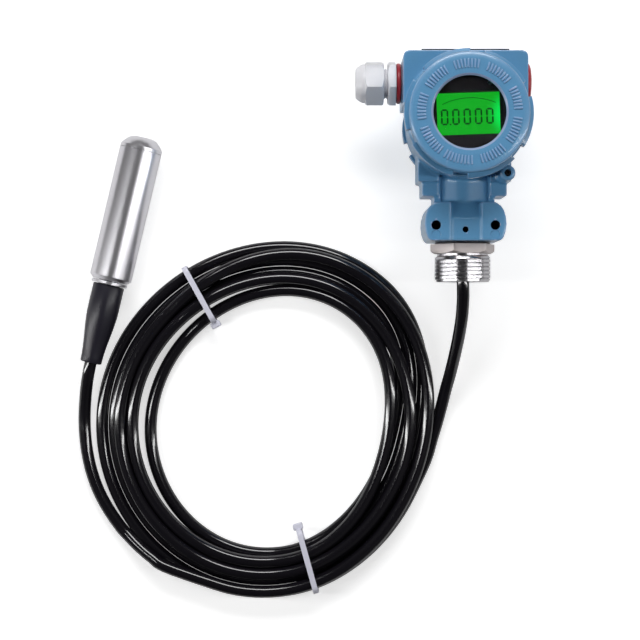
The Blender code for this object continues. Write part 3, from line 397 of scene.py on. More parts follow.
# Finishes: colour and shade are mixed by the grain, and roughness runs between two values
finishes = {
    # paint: edgeHighlight is a painted highlight, a pale lavender laid on sharp convex edges
    "paint": {"color": (0.118, 0.325, 0.555), "shade": (0.098, 0.285, 0.505),
              "roughness": (0.26, 0.38), "scale": 420, "fineness": 2.2, "bump": 0.35,
              "depth": 0.06, "edgeHighlight": (0.30, 0.42, 0.68), "edgeHighlightFrom": 0.52, "edgeHighlightTo": 0.62,
              "sockets": {"Coat Weight": 0.5, "Coat Roughness": 0.14}},
    # paintHighlight: pale paint for the painted highlight on the window chamfer
    "paintHighlight": {"color": (0.36, 0.44, 0.66), "shade": (0.28, 0.38, 0.60),
                  "roughness": (0.2, 0.3), "scale": 420, "fineness": 2.2, "bump": 0.2},
    # holePaintedShade: near-black finish that paints the shade inside the block's deep holes
    "holePaintedShade": {"color": (0.012, 0.02, 0.035), "shade": (0.008, 0.014, 0.026),
                 "roughness": (0.7, 0.85), "scale": 420, "bump": 0.2,
                 "sockets": {"Specular IOR Level": 0.1}},
    "plate": {"color": (0.035, 0.04, 0.055), "shade": (0.02, 0.022, 0.03),
              "roughness": (0.3, 0.45), "metallic": 0.6, "scale": 300, "bump": 0.1},
    "screw": {"color": (0.62, 0.62, 0.64), "shade": (0.48, 0.48, 0.5), "roughness": (0.2, 0.34),
              "metallic": 1.0, "scale": 900, "bump": 0.1},
    "bezel": {"color": (0.022, 0.013, 0.024), "shade": (0.010, 0.006, 0.014),
              "roughness": (0.3, 0.45), "scale": 500, "bump": 0.15},
    "board": {"color": (0.015, 0.11, 0.045), "shade": (0.01, 0.08, 0.03),
              "roughness": (0.35, 0.5), "scale": 600, "bump": 0.1},
    "terminal": {"color": (0.03, 0.03, 0.035), "shade": (0.02, 0.02, 0.022),
                 "roughness": (0.45, 0.6), "scale": 900, "bump": 0.15},
    "white": {"color": (0.83, 0.83, 0.86), "shade": (0.77, 0.77, 0.81),
              "roughness": (0.3, 0.42), "scale": 500, "bump": 0.12},
    "red": {"color": (0.46, 0.030, 0.045), "shade": (0.36, 0.018, 0.03),
            "roughness": (0.28, 0.42), "scale": 700, "bump": 0.15},
    # screwPaintedShade: near-black finish for the lock screw, painting the shade down its recessed
    # hole
    "screwPaintedShade": {"color": (0.02, 0.02, 0.026), "shade": (0.012, 0.012, 0.016),
                  "roughness": (0.35, 0.5), "metallic": 0.7, "scale": 900, "bump": 0.1},
    "hexagon": {"color": (0.62, 0.57, 0.56), "shade": (0.54, 0.49, 0.48),
                "roughness": (0.42, 0.58), "metallic": 0.75, "scale": 1500, "bump": 0.5,
                "depth": 0.05},
    "thread": {"color": (0.60, 0.59, 0.61), "shade": (0.48, 0.47, 0.49),
               "roughness": (0.20, 0.26), "metallic": 1.0, "scale": 900, "bump": 0.03,
               "depth": 0.01},
    "steel": {"color": (0.78, 0.77, 0.80), "shade": (0.74, 0.73, 0.77),
              "roughness": (0.29, 0.32), "metallic": 1.0, "scale": 700, "bump": 0.03,
              "depth": 0.01, "stretch": (24.0, 0.6, 0.6)},
    "rubber": {"color": (0.018, 0.017, 0.026), "shade": (0.012, 0.011, 0.018),
               "roughness": (0.28, 0.38), "scale": 800, "bump": 0.2,
               "sockets": {"Specular IOR Level": 0.4}},
    "cable": {"color": (0.0085, 0.0075, 0.0105), "shade": (0.005, 0.0045, 0.0065),
              "roughness": (0.10, 0.15), "scale": 130, "bump": 0.05, "depth": 0.05,
              "sockets": {"IOR": 1.55, "Specular IOR Level": 0.6}},
    "ceramic": {"color": (0.75, 0.74, 0.70), "shade": (0.7, 0.69, 0.65),
                "roughness": (0.4, 0.5), "scale": 900, "bump": 0.1},
    "tie": {"color": (0.76, 0.76, 0.86), "shade": (0.68, 0.68, 0.79), "roughness": (0.3, 0.45),
            "scale": 600, "bump": 0.2},
}


def makeFinish(name, look, turn=0.0):
    material, tree, shader = startMaterial(name)
    setSockets(shader, {"Metallic": look.get("metallic", 0.0), **look.get("sockets", {})})
    where = addNode(tree, "TexCoord")
    mapping = addNode(tree, "Mapping", {"Rotation": (0, 0, turn),
                                        "Scale": look.get("stretch", (1, 1, 1))},
                      vector_type="TEXTURE")
    grain = addNode(tree, "Group", {"Scale": look["scale"], "Fineness": look.get("fineness", 4.0)},
                    node_tree=grainGroup)
    color = addNode(tree, "Mix", {"A": (*look["color"], 1), "B": (*look["shade"], 1)},
                    data_type="RGBA")
    gloss = addNode(tree, "MapRange", {"From Min": 0.3, "From Max": 0.7,
                                       "To Min": look["roughness"][0],
                                       "To Max": look["roughness"][1]})
    bump = addNode(tree, "Bump", {"Strength": look["bump"],
                                  "Distance": look.get("depth", 0.03) * mm})
    linkAll(tree, (where, "Object", mapping, "Vector"), (mapping, "Vector", grain, "Vector"),
            (grain, "Tone", color, "Factor"), (grain, "Tone", gloss, "Value"),
            (gloss, "Result", shader, "Roughness"), (grain, "Height", bump, "Height"),
            (bump, "Normal", shader, "Normal"))
    # painted highlight: sharp convex edges, found by pointiness, are lightened towards a pale
    # colour in place of the light they catch
    if "edgeHighlight" in look:
        geometry = addNode(tree, "NewGeometry")
        edge = addNode(tree, "MapRange", {"From Min": look["edgeHighlightFrom"],
                                          "From Max": look["edgeHighlightTo"]})
        edgeHighlight = addNode(tree, "Mix", {"B": (*look["edgeHighlight"], 1)}, data_type="RGBA")
        linkAll(tree, (geometry, "Pointiness", edge, "Value"), (edge, "Result", edgeHighlight, "Factor"),
                (color, "Result", edgeHighlight, "A"))
        color = edgeHighlight
    linkAll(tree, (color, "Result", shader, "Base Color"))
    return material


materials = {name: makeFinish(name, look) for name, look in finishes.items()}
materials["probeSteel"] = makeFinish("probeSteel", finishes["steel"],
                                     math.radians(probe["heading"]))


def makeGlass():
    material, tree, shader = startMaterial("windowGlass")
    setSockets(shader, {"Base Color": (0.97, 0.99, 0.99, 1), "Transmission Weight": 1.0,
                        "IOR": 1.47})
    where = addNode(tree, "TexCoord")
    smear = addNode(tree, "TexNoise", {"Scale": 60.0})
    gloss = addNode(tree, "MapRange", {"To Min": 0.0, "To Max": 0.006})
    linkAll(tree, (where, "Object", smear, "Vector"), (smear, "Fac", gloss, "Value"),
            (gloss, "Result", shader, "Roughness"))
    return material


lcd = {"turn": 2.0, "width": 36.0, "height": 24.0, "lap": 1.5, "top": 90.1, "thickness": 3.6,
       "green": (0.003, 0.400, 0.012), "bright": (0.0, 0.90, 0.10), "strength": 1.0,
       "digits": 5, "digitPitch": 6.45, "digitWidth": 4.3, "digitHeight": 9.2, "stroke": 1.05,
       "firstX": -13.6, "digitY": -1.6, "ink": (0.0015, 0.030, 0.004), "inkRise": 0.08,
       "inkSink": 0.04, "segmentGap": 0.12, "point": 0.9,
       "arc": {"radius": 37.0, "stroke": 0.35, "centre": (0.8, -27.9), "from": 115.0, "to": 66.0,
               "steps": 20},
       "glow": {"place": (-0.0215, 0.0, 0.0), "squash": (1, 0.75, 0), "reach": 0.0125,
                "core": 0.001, "grain": 1600.0, "speckle": 0.06}}


def makeLcdGlow():
    # brighter towards the lamp at the panel's right edge
    glow = lcd["glow"]
    material, tree, shader = startMaterial("lcdGlow")
    setSockets(shader, {"Base Color": (0.002, 0.06, 0.005, 1), "Roughness": 0.25,
                        "Emission Strength": lcd["strength"]})
    where = addNode(tree, "TexCoord")
    mapping = addNode(tree, "Mapping", {"Location": glow["place"], "Scale": glow["squash"]})
    spot = addNode(tree, "VectorMath", operation="LENGTH")
    near = addNode(tree, "MapRange", {"From Min": glow["reach"], "From Max": glow["core"]},
                   interpolation_type="SMOOTHERSTEP")
    grain = addNode(tree, "TexNoise", {"Scale": glow["grain"]})
    speckle = addNode(tree, "MapRange", {"To Min": -glow["speckle"], "To Max": glow["speckle"]})
    total = addNode(tree, "Math", use_clamp=True)
    mix = addNode(tree, "Mix", {"A": (*lcd["green"], 1), "B": (*lcd["bright"], 1)},
                  data_type="RGBA")
    linkAll(tree, (where, "Object", mapping, "Vector"), (mapping, "Vector", spot, 0),
            (spot, "Value", near, "Value"), (where, "Object", grain, "Vector"),
            (grain, "Fac", speckle, "Value"), (near, "Result", total, 0),
            (speckle, "Result", total, 1), (total, "Value", mix, "Factor"),
            (mix, "Result", shader, "Emission Color"))
    return material


materials["glass"] = makeGlass()
materials["lcd"] = makeLcdGlow()
materials["ink"] = makeFinish("lcdInk", {
    "color": lcd["ink"], "shade": (0.001, 0.02, 0.003), "roughness": (0.35, 0.5), "scale": 900,
    "bump": 0.05, "sockets": {"Emission Color": (0.0, 0.06, 0.005, 1), "Emission Strength": 1.0,
                            "Specular IOR Level": 0.1}})
print("finishes made:", len(materials))

cablePiece.data.materials.append(materials["cable"])

# Head casting: forms fused by a remesh, then bored out
casting = {
    "voxel": 0.8, "soften": 7,
    "barrelRadius": 35.5, "rear": 12.0, "front": 88.0, "edge": 1.2, "axisZ": 50.0,
    "rearRadius": 32.5, "taperLow": 24.0, "taperHigh": 66.0, "rearThread": 30.0,
    "boxHalf": 36.3, "boxTop": 39.0, "boxLow": 8.0, "boxDepth": 50.0, "boxCorner": 3.0,
    "neckRadius": 17.7, "neckFrom": 28.0, "neckTo": 62.0,
    "blockOutline": ((17.4, -49.0), (20.6, -51.2), (22.4, -54.0), (23.5, -58.0), (23.8, -62.0),
                     (23.3, -66.2), (22.0, -69.8), (20.3, -71.4)),
    "blockLow": 26.0, "blockHigh": 74.0, "panel": (-8.3, 9.0), "panelDrop": 1.3,
    "panelEnd": -80.0,
    "shoulderY": -58.5, "shoulderDrop": 7.2, "earY": -51.4,
    "lugInner": 15.0, "lugOuter": 27.3, "lugStep": 24.8, "lugTop": -19.0, "lugStepY": -36.6,
    "lugBase": -45.0, "lugLow": 33.0, "lugHigh": 67.0,
    "bossX": 23.0, "bossY": -33.3, "bossRadius": 4.5, "bossLow": 62.0, "bossHigh": 87.7,
    "ribX": 15.9, "ribHalf": 1.9, "ribLow": 36.0, "ribHigh": 64.0, "ribFrom": -52.0,
    "ribTo": -24.0,
    "threadRadius": 33.0, "chamberRadius": 29.0, "threadDepth": 11.0,
    "partitionRear": 57.0, "partitionFront": 61.0,
    "entryY": 23.2, "entryZ": 46.0, "entryRadius": 10.0, "entryDepth": 26.0,
    "passage": 6.5, "stubBore": 12.0, "stubFrom": 59.1, "stubTo": 74.0, "past": 3.0,
    "holeRim": 0.35, "bossHole": (23.0, -33.3, 2.0, 10), "bossEdge": 0.4,
    "darkFrom": 2.5, "darkTo": 14.0, "darkMargin": 0.15, "deepHole": 1.0,
    "blockHoles": ((-17.2, -62.5, 2.75, 12), (17.2, -62.5, 2.75, 12), (-17.2, -68.1, 2.6, 0.5),
                   (17.2, -68.1, 2.6, 0.5), (0, -65, 1.75, 8)),
}


def fuseCasting():
    c = casting
    edge = c["edge"]
    forms = [turnPiece("casting", [(0, c["rear"]), (c["rearRadius"] - edge, c["rear"]),
                                   (c["rearRadius"], c["rear"] + edge),
                                   (c["rearRadius"], c["taperLow"]),
                                   (c["barrelRadius"], c["taperHigh"]),
                                   (c["barrelRadius"], c["front"] - edge),
                                   (c["barrelRadius"] - edge, c["front"]), (0, c["front"])],
                       steps=128)]
    half, corner = c["boxHalf"], c["boxCorner"]
    low = c["axisZ"] - c["boxDepth"] / 2
    boxOutline = [(-half, c["boxLow"], low), (half, c["boxLow"], low),
                  (half, c["boxTop"] - corner, low),
                  (half - corner * 0.35, c["boxTop"] - corner * 0.3, low),
                  (half - corner, c["boxTop"], low), (corner - half, c["boxTop"], low),
                  (corner * 0.35 - half, c["boxTop"] - corner * 0.3, low),
                  (-half, c["boxTop"] - corner, low)]
    forms.append(prismPiece("entryBox", boxOutline, (0, 0, c["boxDepth"])))
    forms.append(turnPiece("neck", rod((c["neckRadius"], c["neckFrom"], c["neckTo"])),
                           (0, 0, c["axisZ"]), threadWay, 64))
    outline = ([(x, y, c["blockLow"]) for x, y in c["blockOutline"]]
               + [(-x, y, c["blockLow"]) for x, y in reversed(c["blockOutline"])])
    block = prismPiece("block", outline, (0, 0, c["blockHigh"] - c["blockLow"]))
    for face, sign in ((c["blockHigh"], 1), (c["blockLow"], -1)):
        left, right = c["panel"]
        below, above = c["panelEnd"], c["earY"] + c["past"]
        floor, outside = face - sign * c["panelDrop"], face + sign * c["past"]
        panel = [(left, below, floor), (left, c["shoulderY"], floor),
                 (left, above, face - sign * c["shoulderDrop"]), (left, above, outside),
                 (left, below, outside)]
        carve(block, prismPiece("panelCut", panel, (right - left, 0, 0)))
    forms.append(block)
    for side in (-1, 1):
        forms.append(blockPiece("lug", (side * c["lugInner"], c["lugStepY"], c["lugLow"]),
                                (side * c["lugOuter"], c["lugTop"], c["lugHigh"])))
        forms.append(blockPiece("lugStep", (side * c["lugInner"], c["lugBase"], c["lugLow"]),
                                (side * c["lugStep"], c["lugStepY"] + 1, c["lugHigh"] - 2)))
        forms.append(blockPiece("rib", (side * c["ribX"] - c["ribHalf"], c["ribFrom"], c["ribLow"]),
                                (side * c["ribX"] + c["ribHalf"], c["ribTo"], c["ribHigh"])))
    forms.append(turnPiece("boss", [(0, c["bossLow"]), (c["bossRadius"], c["bossLow"]),
                                    (c["bossRadius"], c["bossHigh"] - c["bossEdge"]),
                                    (c["bossRadius"] - c["bossEdge"], c["bossHigh"]),
                                    (0, c["bossHigh"])],
                           (c["bossX"], c["bossY"], 0), up, 32))
    piece = joinPieces(*forms)
    # the remesh and the smoothing round every edge, as on a casting
    piece.data.remesh_voxel_size = c["voxel"] * mm
    pick(piece)
    bpy.ops.object.voxel_remesh()
    modify(piece, "SMOOTH", factor=0.5, iterations=c["soften"])
    print("casting fused:", len(piece.data.polygons), "faces")
    return piece


def boreCasting(piece):
    c = casting
    chamber, past = c["chamberRadius"], c["past"]
    rearStep = c["rear"] + c["threadDepth"]
    frontStep = c["front"] - c["threadDepth"]
    tools = [turnPiece("rearCut", rod((c["rearThread"], c["rear"] - past, rearStep),
                                      (chamber, rearStep, c["partitionRear"])), steps=128),
             turnPiece("frontCut", rod((chamber, c["partitionFront"], frontStep),
                                       (c["threadRadius"], frontStep, c["front"] + past)),
                       steps=128)]
    for side in (-1, 1):
        bore = rod((c["entryRadius"], c["boxHalf"] - c["entryDepth"], c["boxHalf"] + past))
        tools.append(turnPiece("entryCut", bore, (0, c["entryY"], c["entryZ"]),
                               Vector((side, 0, 0)), 48))
    tools.append(turnPiece("neckCut", rod((c["passage"], chamber - 2, c["stubFrom"]),
                                          (c["stubBore"], c["stubFrom"], c["stubTo"])),
                           (0, 0, c["axisZ"]), threadWay, 48))
    rim = c["holeRim"]
    for x, y, radius, depth in (*c["blockHoles"], c["bossHole"]):
        top = c["bossHigh"] if x == c["bossX"] else c["blockHigh"]
        edgeTop = top - (c["panelDrop"] if x == 0 else 0.0)
        hole = rod((radius, top - depth, edgeTop - rim), (radius + rim, edgeTop, top + past))
        tools.append(turnPiece("holeCut", hole, (x, y, 0), up, 40))
    for tool in tools:
        carve(piece, tool, solver="MANIFOLD")
    return smooth(piece, 40)


def paintShadeInHoles(piece):
    # painted shade: a near-black finish down inside the deep holes of the mounting block, where
    # shade falls
    c = casting
    piece.data.materials.append(materials["holePaintedShade"])
    deepHoles = [hole for hole in c["blockHoles"] if hole[3] > c["deepHole"]]
    for face in piece.data.polygons:
        spot = face.center / mm
        for x, y, radius, depth in deepHoles:
            inside = math.hypot(spot.x - x, spot.y - y) < radius + c["darkMargin"]
            if inside and c["darkFrom"] < c["blockHigh"] - spot.z < c["darkTo"]:
                face.material_index = 1


paintShadeInHoles(place(boreCasting(fuseCasting()), "paint", "blue_paint", "head", ("housing",)))
print("casting built")

# Screw covers: a castellated rim round each, and a ring of raised bars round the window
covers = {
    "steps": 180, "startTurn": 1.0,
    "toothFrom": 29.0, "toothTo": 75.0, "toothPitch": 60.0, "threadDepth": 0.9,
    "threadPitch": 1.7, "grooveDepth": 2.7, "grooveGap": 0.7, "grooveWidth": 3.0,
    "endEdge": 0.5, "runout": 0.6, "bevelAngle": 35,
    "barInner": 24.9, "barOuter": 29.8, "barRise": 0.7, "barGroup": 40.0, "barSpan": 32.0,
}
frontCover = {"sleeve": 32.7, "cavity": 28.3, "rimInner": 34.2, "rim": 36.8, "low": 77.3,
              "rimLow": 88.3, "rimHigh": 96.8, "face": 103.3, "window": 20.6,
              "chamfer": 1.2, "lip": 101.7, "glassBore": 25.3, "groove": 26.8,
              "grooveHigh": 94.8, "grooveLow": 93.0, "seat": 92.7, "bevel": 0.2,
              "shoulder": ((0, -1.3), (-0.4, -0.5), (-1.3, 0))}
rearCover = {"sleeve": 29.7, "cavity": 25.3, "rimInner": 31.2, "rim": 33.8, "rimLow": 3.2,
             "rimHigh": 11.7, "high": 22.7, "floor": 5.0, "bevel": 0.3,
             "shoulder": ((-1.8, 0), (-1.2, 0.5), (0, 1.6))}


def sleeveSide(sleeve, rimZ, endZ, towards):
    # from the rim down the sleeve: seal groove, then ringed thread
    c = covers
    near = rimZ + towards * c["grooveGap"]
    far = near + towards * c["grooveWidth"]
    points = [(sleeve, rimZ), (sleeve, near), (sleeve - c["grooveDepth"], near),
              (sleeve - c["grooveDepth"], far), (sleeve, far)]
    height = far + towards * c["runout"]
    while (endZ - height) * towards > c["threadPitch"]:
        points += [(sleeve, height),
                   (sleeve - c["threadDepth"], height + towards * c["threadPitch"] * 0.5)]
        height += towards * c["threadPitch"]
    edge = c["endEdge"]
    return points + [(sleeve, height), (sleeve, endZ - towards * edge), (sleeve - edge, endZ)]


def raiseTeeth(piece, shape):
    c = covers
    middle = (shape["rimLow"] + shape["rimHigh"]) / 2

    def onTooth(center, normal):
        angle = math.degrees(math.atan2(center.y, center.x)) % c["toothPitch"]
        onSide = abs(math.hypot(center.x, center.y) - shape["rimInner"]) < 0.2
        return (onSide and abs(center.z - middle) < 1
                and not c["toothTo"] - c["toothPitch"] < angle < c["toothFrom"])

    selectFaces(piece, onTooth)
    bpy.ops.mesh.extrude_region_move()
    grow = shape["rim"] / shape["rimInner"]
    bpy.ops.transform.resize(value=(grow, grow, 1), center_override=(0, 0, 0))
    bpy.ops.object.mode_set(mode="OBJECT")


def buildFrontCover():
    c, f = covers, frontCover
    profile = ([(f["cavity"], f["low"])]
               + sleeveSide(f["sleeve"], f["rimLow"] - 0.3, f["low"], -1)[::-1]
               + [(f["sleeve"], f["rimLow"]), (f["rimInner"], f["rimLow"]),
                  (f["rimInner"], f["rimHigh"])]
               + [(f["rimInner"] + inward, f["face"] + drop) for inward, drop in f["shoulder"]]
               + [(c["barOuter"], f["face"]), (c["barInner"], f["face"]),
                  (f["window"] + f["chamfer"], f["face"]),
                  (f["window"], f["face"] - f["chamfer"]), (f["window"], f["lip"]),
                  (f["glassBore"], f["lip"]), (f["glassBore"], f["grooveHigh"]),
                  (f["groove"], f["grooveHigh"]), (f["groove"], f["grooveLow"]),
                  (f["glassBore"], f["grooveLow"]), (f["glassBore"], f["seat"]),
                  (f["cavity"], f["seat"])])
    piece = turnPiece("frontCover", profile, steps=c["steps"], startTurn=c["startTurn"], ring=True)
    raiseTeeth(piece, f)

    def onBar(center, normal):
        angle = math.degrees(math.atan2(center.y, center.x)) % 360
        radius = math.hypot(center.x, center.y)
        return (normal.z > 0.9 and c["barInner"] < radius < c["barOuter"]
                and angle % c["barGroup"] < c["barSpan"] and round(angle / 2) % 2 == 0)

    selectFaces(piece, onBar)
    bpy.ops.mesh.extrude_region_move(TRANSFORM_OT_translate={"value": (0, 0, c["barRise"] * mm)})
    bpy.ops.object.mode_set(mode="OBJECT")
    bevelEdges(piece, f["bevel"], 2, c["bevelAngle"])
    return smooth(piece)


def buildRearCover():
    c, r = covers, rearCover
    profile = ([(0, 0)] + [(r["rimInner"] + inward, rise) for inward, rise in r["shoulder"]]
               + [(r["rimInner"], r["rimLow"]), (r["rimInner"], r["rimHigh"]),
                  (r["sleeve"], r["rimHigh"])]
               + sleeveSide(r["sleeve"], r["rimHigh"] + 0.3, r["high"], 1)[1:]
               + [(r["cavity"], r["high"]), (r["cavity"], r["floor"]), (0, r["floor"])])
    piece = turnPiece("rearCover", profile, steps=c["steps"], startTurn=c["startTurn"])
    raiseTeeth(piece, r)
    bevelEdges(piece, r["bevel"], 2, c["bevelAngle"])
    return smooth(piece)


def paintChamferHighlight(piece):
    # painted highlight: a pale paint on the chamfer round the window stands in for the light the
    # chamfer catches
    f = frontCover
    piece.data.materials.append(materials["paintHighlight"])
    for face in piece.data.polygons:
        spot = face.center / mm
        radius = math.hypot(spot.x, spot.y)
        onRing = f["window"] + 0.05 < radius < f["window"] + f["chamfer"]
        if onRing and f["face"] - f["chamfer"] < spot.z < f["face"] + 0.1:
            face.material_index = 1


paintChamferHighlight(place(buildFrontCover(), "paint", "blue_paint", "front_cover", ("front_cover",)))
place(buildRearCover(), "paint", "blue_paint", "rear_cover", ("rear_cover",))
print("covers built")

# Window: glass, its gasket and the snap ring that holds them
window = {"glassRadius": 25.0, "glassLow": 95.1, "glassHigh": 100.1, "edge": 0.35,
          "gasketInner": 22.4, "gasketLow": 100.4, "gasketHigh": 101.4,
          "ringInner": 22.3, "ringOuter": 26.5, "ringLow": 93.3, "ringHigh": 94.5}


def buildWindow():
    w = window
    glass = turnPiece("windowGlass", bevelled(0, w["glassRadius"], w["glassLow"], w["glassHigh"],
                                              w["edge"]))
    place(smooth(glass), "glass", "clear_glass", "front_cover", ("cover_window",))
    for name, inner, outer, low, high, finish, slot, node in (
            ("windowGasket", w["gasketInner"], w["glassRadius"], w["gasketLow"],
             w["gasketHigh"], "rubber", "black_rubber", "window_gasket"),
            ("windowRing", w["ringInner"], w["ringOuter"], w["ringLow"], w["ringHigh"],
             "screw", "bright_screw", "window_ring")):
        ring = turnPiece(name, band(inner, outer, low, high), ring=True)
        bevelEdges(ring, 0.2)
        place(smooth(ring), finish, slot, "front_cover", (node,))


buildWindow()
print("window built")

# Display: bezel plate with its opening, lit panel, plain digits
bezel = {"radius": 26.0, "skirt": 1.5, "low": 84.4, "plateLow": 90.4, "plateHigh": 92.4,
         "screwRing": 21.9, "screwAngle": 55.0, "screwHole": 1.3, "headHole": 2.0,
         "headSeat": 91.1, "openingEdge": 0.5, "rimEdge": 0.5}


def buildBezel():
    b = bezel
    inner = b["radius"] - b["skirt"]
    piece = turnPiece("displayBezel",
                      [(0, b["plateLow"]), (inner, b["plateLow"]), (inner, b["low"]),
                       (b["radius"], b["low"]), (b["radius"], b["plateHigh"] - b["rimEdge"]),
                       (b["radius"] - b["rimEdge"], b["plateHigh"]), (0, b["plateHigh"])],
                      steps=128)
    turn = Matrix.Rotation(math.radians(lcd["turn"]), 3, "Z")
    edge = b["openingEdge"]
    for grow, low, high in ((0, b["plateLow"] - 1, b["plateHigh"] + 1),
                            (edge, b["plateHigh"] - edge, b["plateHigh"] + 1)):
        half = (lcd["width"] / 2 + grow, lcd["height"] / 2 + grow)
        corners = [turn @ Vector((x * half[0], y * half[1], low))
                   for x, y in ((-1, -1), (1, -1), (1, 1), (-1, 1))]
        carve(piece, prismPiece("openingCut", corners, (0, 0, high - low)), solver="MANIFOLD")
    for side in (0, 180):
        angle = math.radians(b["screwAngle"] + side)
        spot = (b["screwRing"] * math.cos(angle), b["screwRing"] * math.sin(angle), 0)
        hole = rod((b["screwHole"], b["plateLow"] - 1, b["headSeat"]),
                   (b["headHole"], b["headSeat"], b["plateHigh"] + 1))
        carve(piece, turnPiece("screwCut", hole, spot, steps=32), solver="MANIFOLD")
    return smooth(piece)


def buildPanel():
    width = lcd["width"] / 2 + lcd["lap"]
    height = lcd["height"] / 2 + lcd["lap"]
    piece = blockPiece("lcdPanel", (-width, -height, lcd["top"] - lcd["thickness"]),
                       (width, height, lcd["top"]))
    return smooth(bevelEdges(piece, 0.2, 1))


def buildDigits():
    # plain seven-segment zeros with a point, and a thin arc above them
    turn = Matrix.Rotation(math.radians(lcd["turn"]), 3, "Z")
    low, rise = lcd["top"] - lcd["inkSink"], lcd["inkRise"] + lcd["inkSink"]
    w, h, s = lcd["digitWidth"], lcd["digitHeight"], lcd["stroke"]
    gap = lcd["segmentGap"]
    parts = []

    def bar(x0, y0, x1, y1):
        # one segment with pointed ends
        run = Vector((x1 - x0, y1 - y0, 0))
        along = run.normalized()
        side = Vector((-along.y, along.x, 0)) * s / 2
        start = Vector((x0, y0, low)) + along * gap
        end = Vector((x1, y1, low)) - along * gap
        corners = [start, start + along * s / 2 + side, end - along * s / 2 + side, end,
                   end - along * s / 2 - side, start + along * s / 2 - side]
        parts.append(prismPiece("segment", [turn @ corner for corner in corners], (0, 0, rise)))

    for number in range(lcd["digits"]):
        x = lcd["firstX"] + number * lcd["digitPitch"]
        y = lcd["digitY"]
        left, right = x - w / 2 + s / 2, x + w / 2 - s / 2
        base, top = y - h / 2 + s / 2, y + h / 2 - s / 2
        for x0, y0, x1, y1 in ((left, base, right, base), (left, top, right, top),
                               (left, base, left, y), (left, y, left, top),
                               (right, base, right, y), (right, y, right, top)):
            bar(x0, y0, x1, y1)
    pointX = lcd["firstX"] + lcd["digitPitch"] / 2
    base = lcd["digitY"] - h / 2
    left, right, top = pointX - lcd["point"] / 2, pointX + lcd["point"] / 2, base + lcd["point"]
    parts.append(prismPiece("point", [turn @ Vector((x, y, low)) for x, y in (
        (left, base), (right, base), (right, top), (left, top))], (0, 0, rise)))
    arc = lcd["arc"]
    outline = []
    for radius, order in ((arc["radius"] + arc["stroke"] / 2, 1),
                          (arc["radius"] - arc["stroke"] / 2, -1)):
        angles = [arc["from"] + (arc["to"] - arc["from"]) * k / arc["steps"]
                  for k in range(arc["steps"] + 1)][::order]
        outline += [turn @ Vector((arc["centre"][0] + radius * math.cos(math.radians(a)),
                                   arc["centre"][1] + radius * math.sin(math.radians(a)), low))
                    for a in angles]
    parts.append(prismPiece("arc", outline, (0, 0, rise)))
    piece = joinPieces(*parts)
    piece.name = "displayDigits"
    piece.data.name = "displayDigits"
    return piece


place(buildBezel(), "bezel", "dark_plastic", "head", ("display_bezel",))
place(buildPanel(), "lcd", "lcd_green", "head", ("lcd_panel",))
place(buildDigits(), "ink", "lcd_green", "head")
print("display built")

# Nameplate on top of the entry box
plate = {"width": 51.0, "depth": 44.0, "low": 39.3, "high": 40.1, "axisZ": 50.0,
         "rivetX": 22.5, "rivetShank": 1.0, "rivetDepth": 3.6,
         "rivetDome": ((1.8, 0.3), (1.656, 0.62), (1.224, 0.9), (0.648, 1.06), (0, 1.1))}


def buildNameplate():
    p = plate
    piece = blockPiece("nameplate", (-p["width"] / 2, p["low"], p["axisZ"] - p["depth"] / 2),
                       (p["width"] / 2, p["high"], p["axisZ"] + p["depth"] / 2))
    place(smooth(bevelEdges(piece, 0.15, 2)), "plate", "plate_metal", "head", ("nameplate",))
    shank, foot, neck = p["rivetShank"], p["high"] - p["rivetDepth"], p["high"] + 0.3
    profile = ([(0, foot), (shank, foot), (shank, neck)]
               + [(radius, p["high"] + rise) for radius, rise in p["rivetDome"]])
    for side, name in ((-1, "left"), (1, "right")):
        rivet = turnPiece("rivet", profile, (side * p["rivetX"], 0, p["axisZ"]),
                          Vector((0, 1, 0)), 32)
        rivet.name = "rivet" + name.capitalize()
        place(smooth(rivet), "screw", "bright_screw", "head",
              ("nameplate_rivet_" + name,))


buildNameplate()
print("nameplate built")

# Cable gland on the left: washer, body, dome nut and rubber insert
gland = {"y": 23.2, "z": 46.0, "flats": 24.0, "turn": -15.0,
         "washerLow": 36.6, "washerHigh": 39.3, "washerRadius": 12.0, "shank": 9.7,
         "shankLow": 24.6, "hexLow": 39.6, "hexHigh": 44.4, "bore": 5.0,
         "threadRadius": 9.0, "threadDepth": 0.7, "threadPitch": 1.5, "threadTurns": 4.6,
         "threadEnd": 52.0,
         "nutLow": 46.8, "nutHigh": 63.4, "domeLength": 5.5, "nutBore": 9.3, "endWall": 6.0,
         "endRadius": 6.0, "insertBore": 3.6, "chamfer": 0.9, "washerEdge": 0.6,
         "crestHalf": 0.15, "fit": 0.3, "domeShrink": 4.0, "domeSteps": 10}
glandOut = Vector((-1, 0, 0))


def chamferedHexagon(name, flats, centre, axis, low, high, turn, chamfer, ends=(True, True)):
    prism = prismPiece(name, hexagonCorners(flats, Vector(centre) + axis * low, axis, turn),
                       axis * (high - low))
    face = flats / 2 - 0.1
    corner = flats / math.sqrt(3) + 0.3
    drop = (corner - face) * math.tan(math.radians(30))
    drop = min(drop, chamfer * 2)
    profile = [(0, low)]
    profile += [(face, low), (corner, low + drop)] if ends[0] else [(corner, low)]
    profile += [(corner, high - drop), (face, high)] if ends[1] else [(corner, high)]
    profile += [(0, high)]
    return carve(prism, turnPiece("chamferTool", profile, centre, axis, 72),
                 operation="INTERSECT")


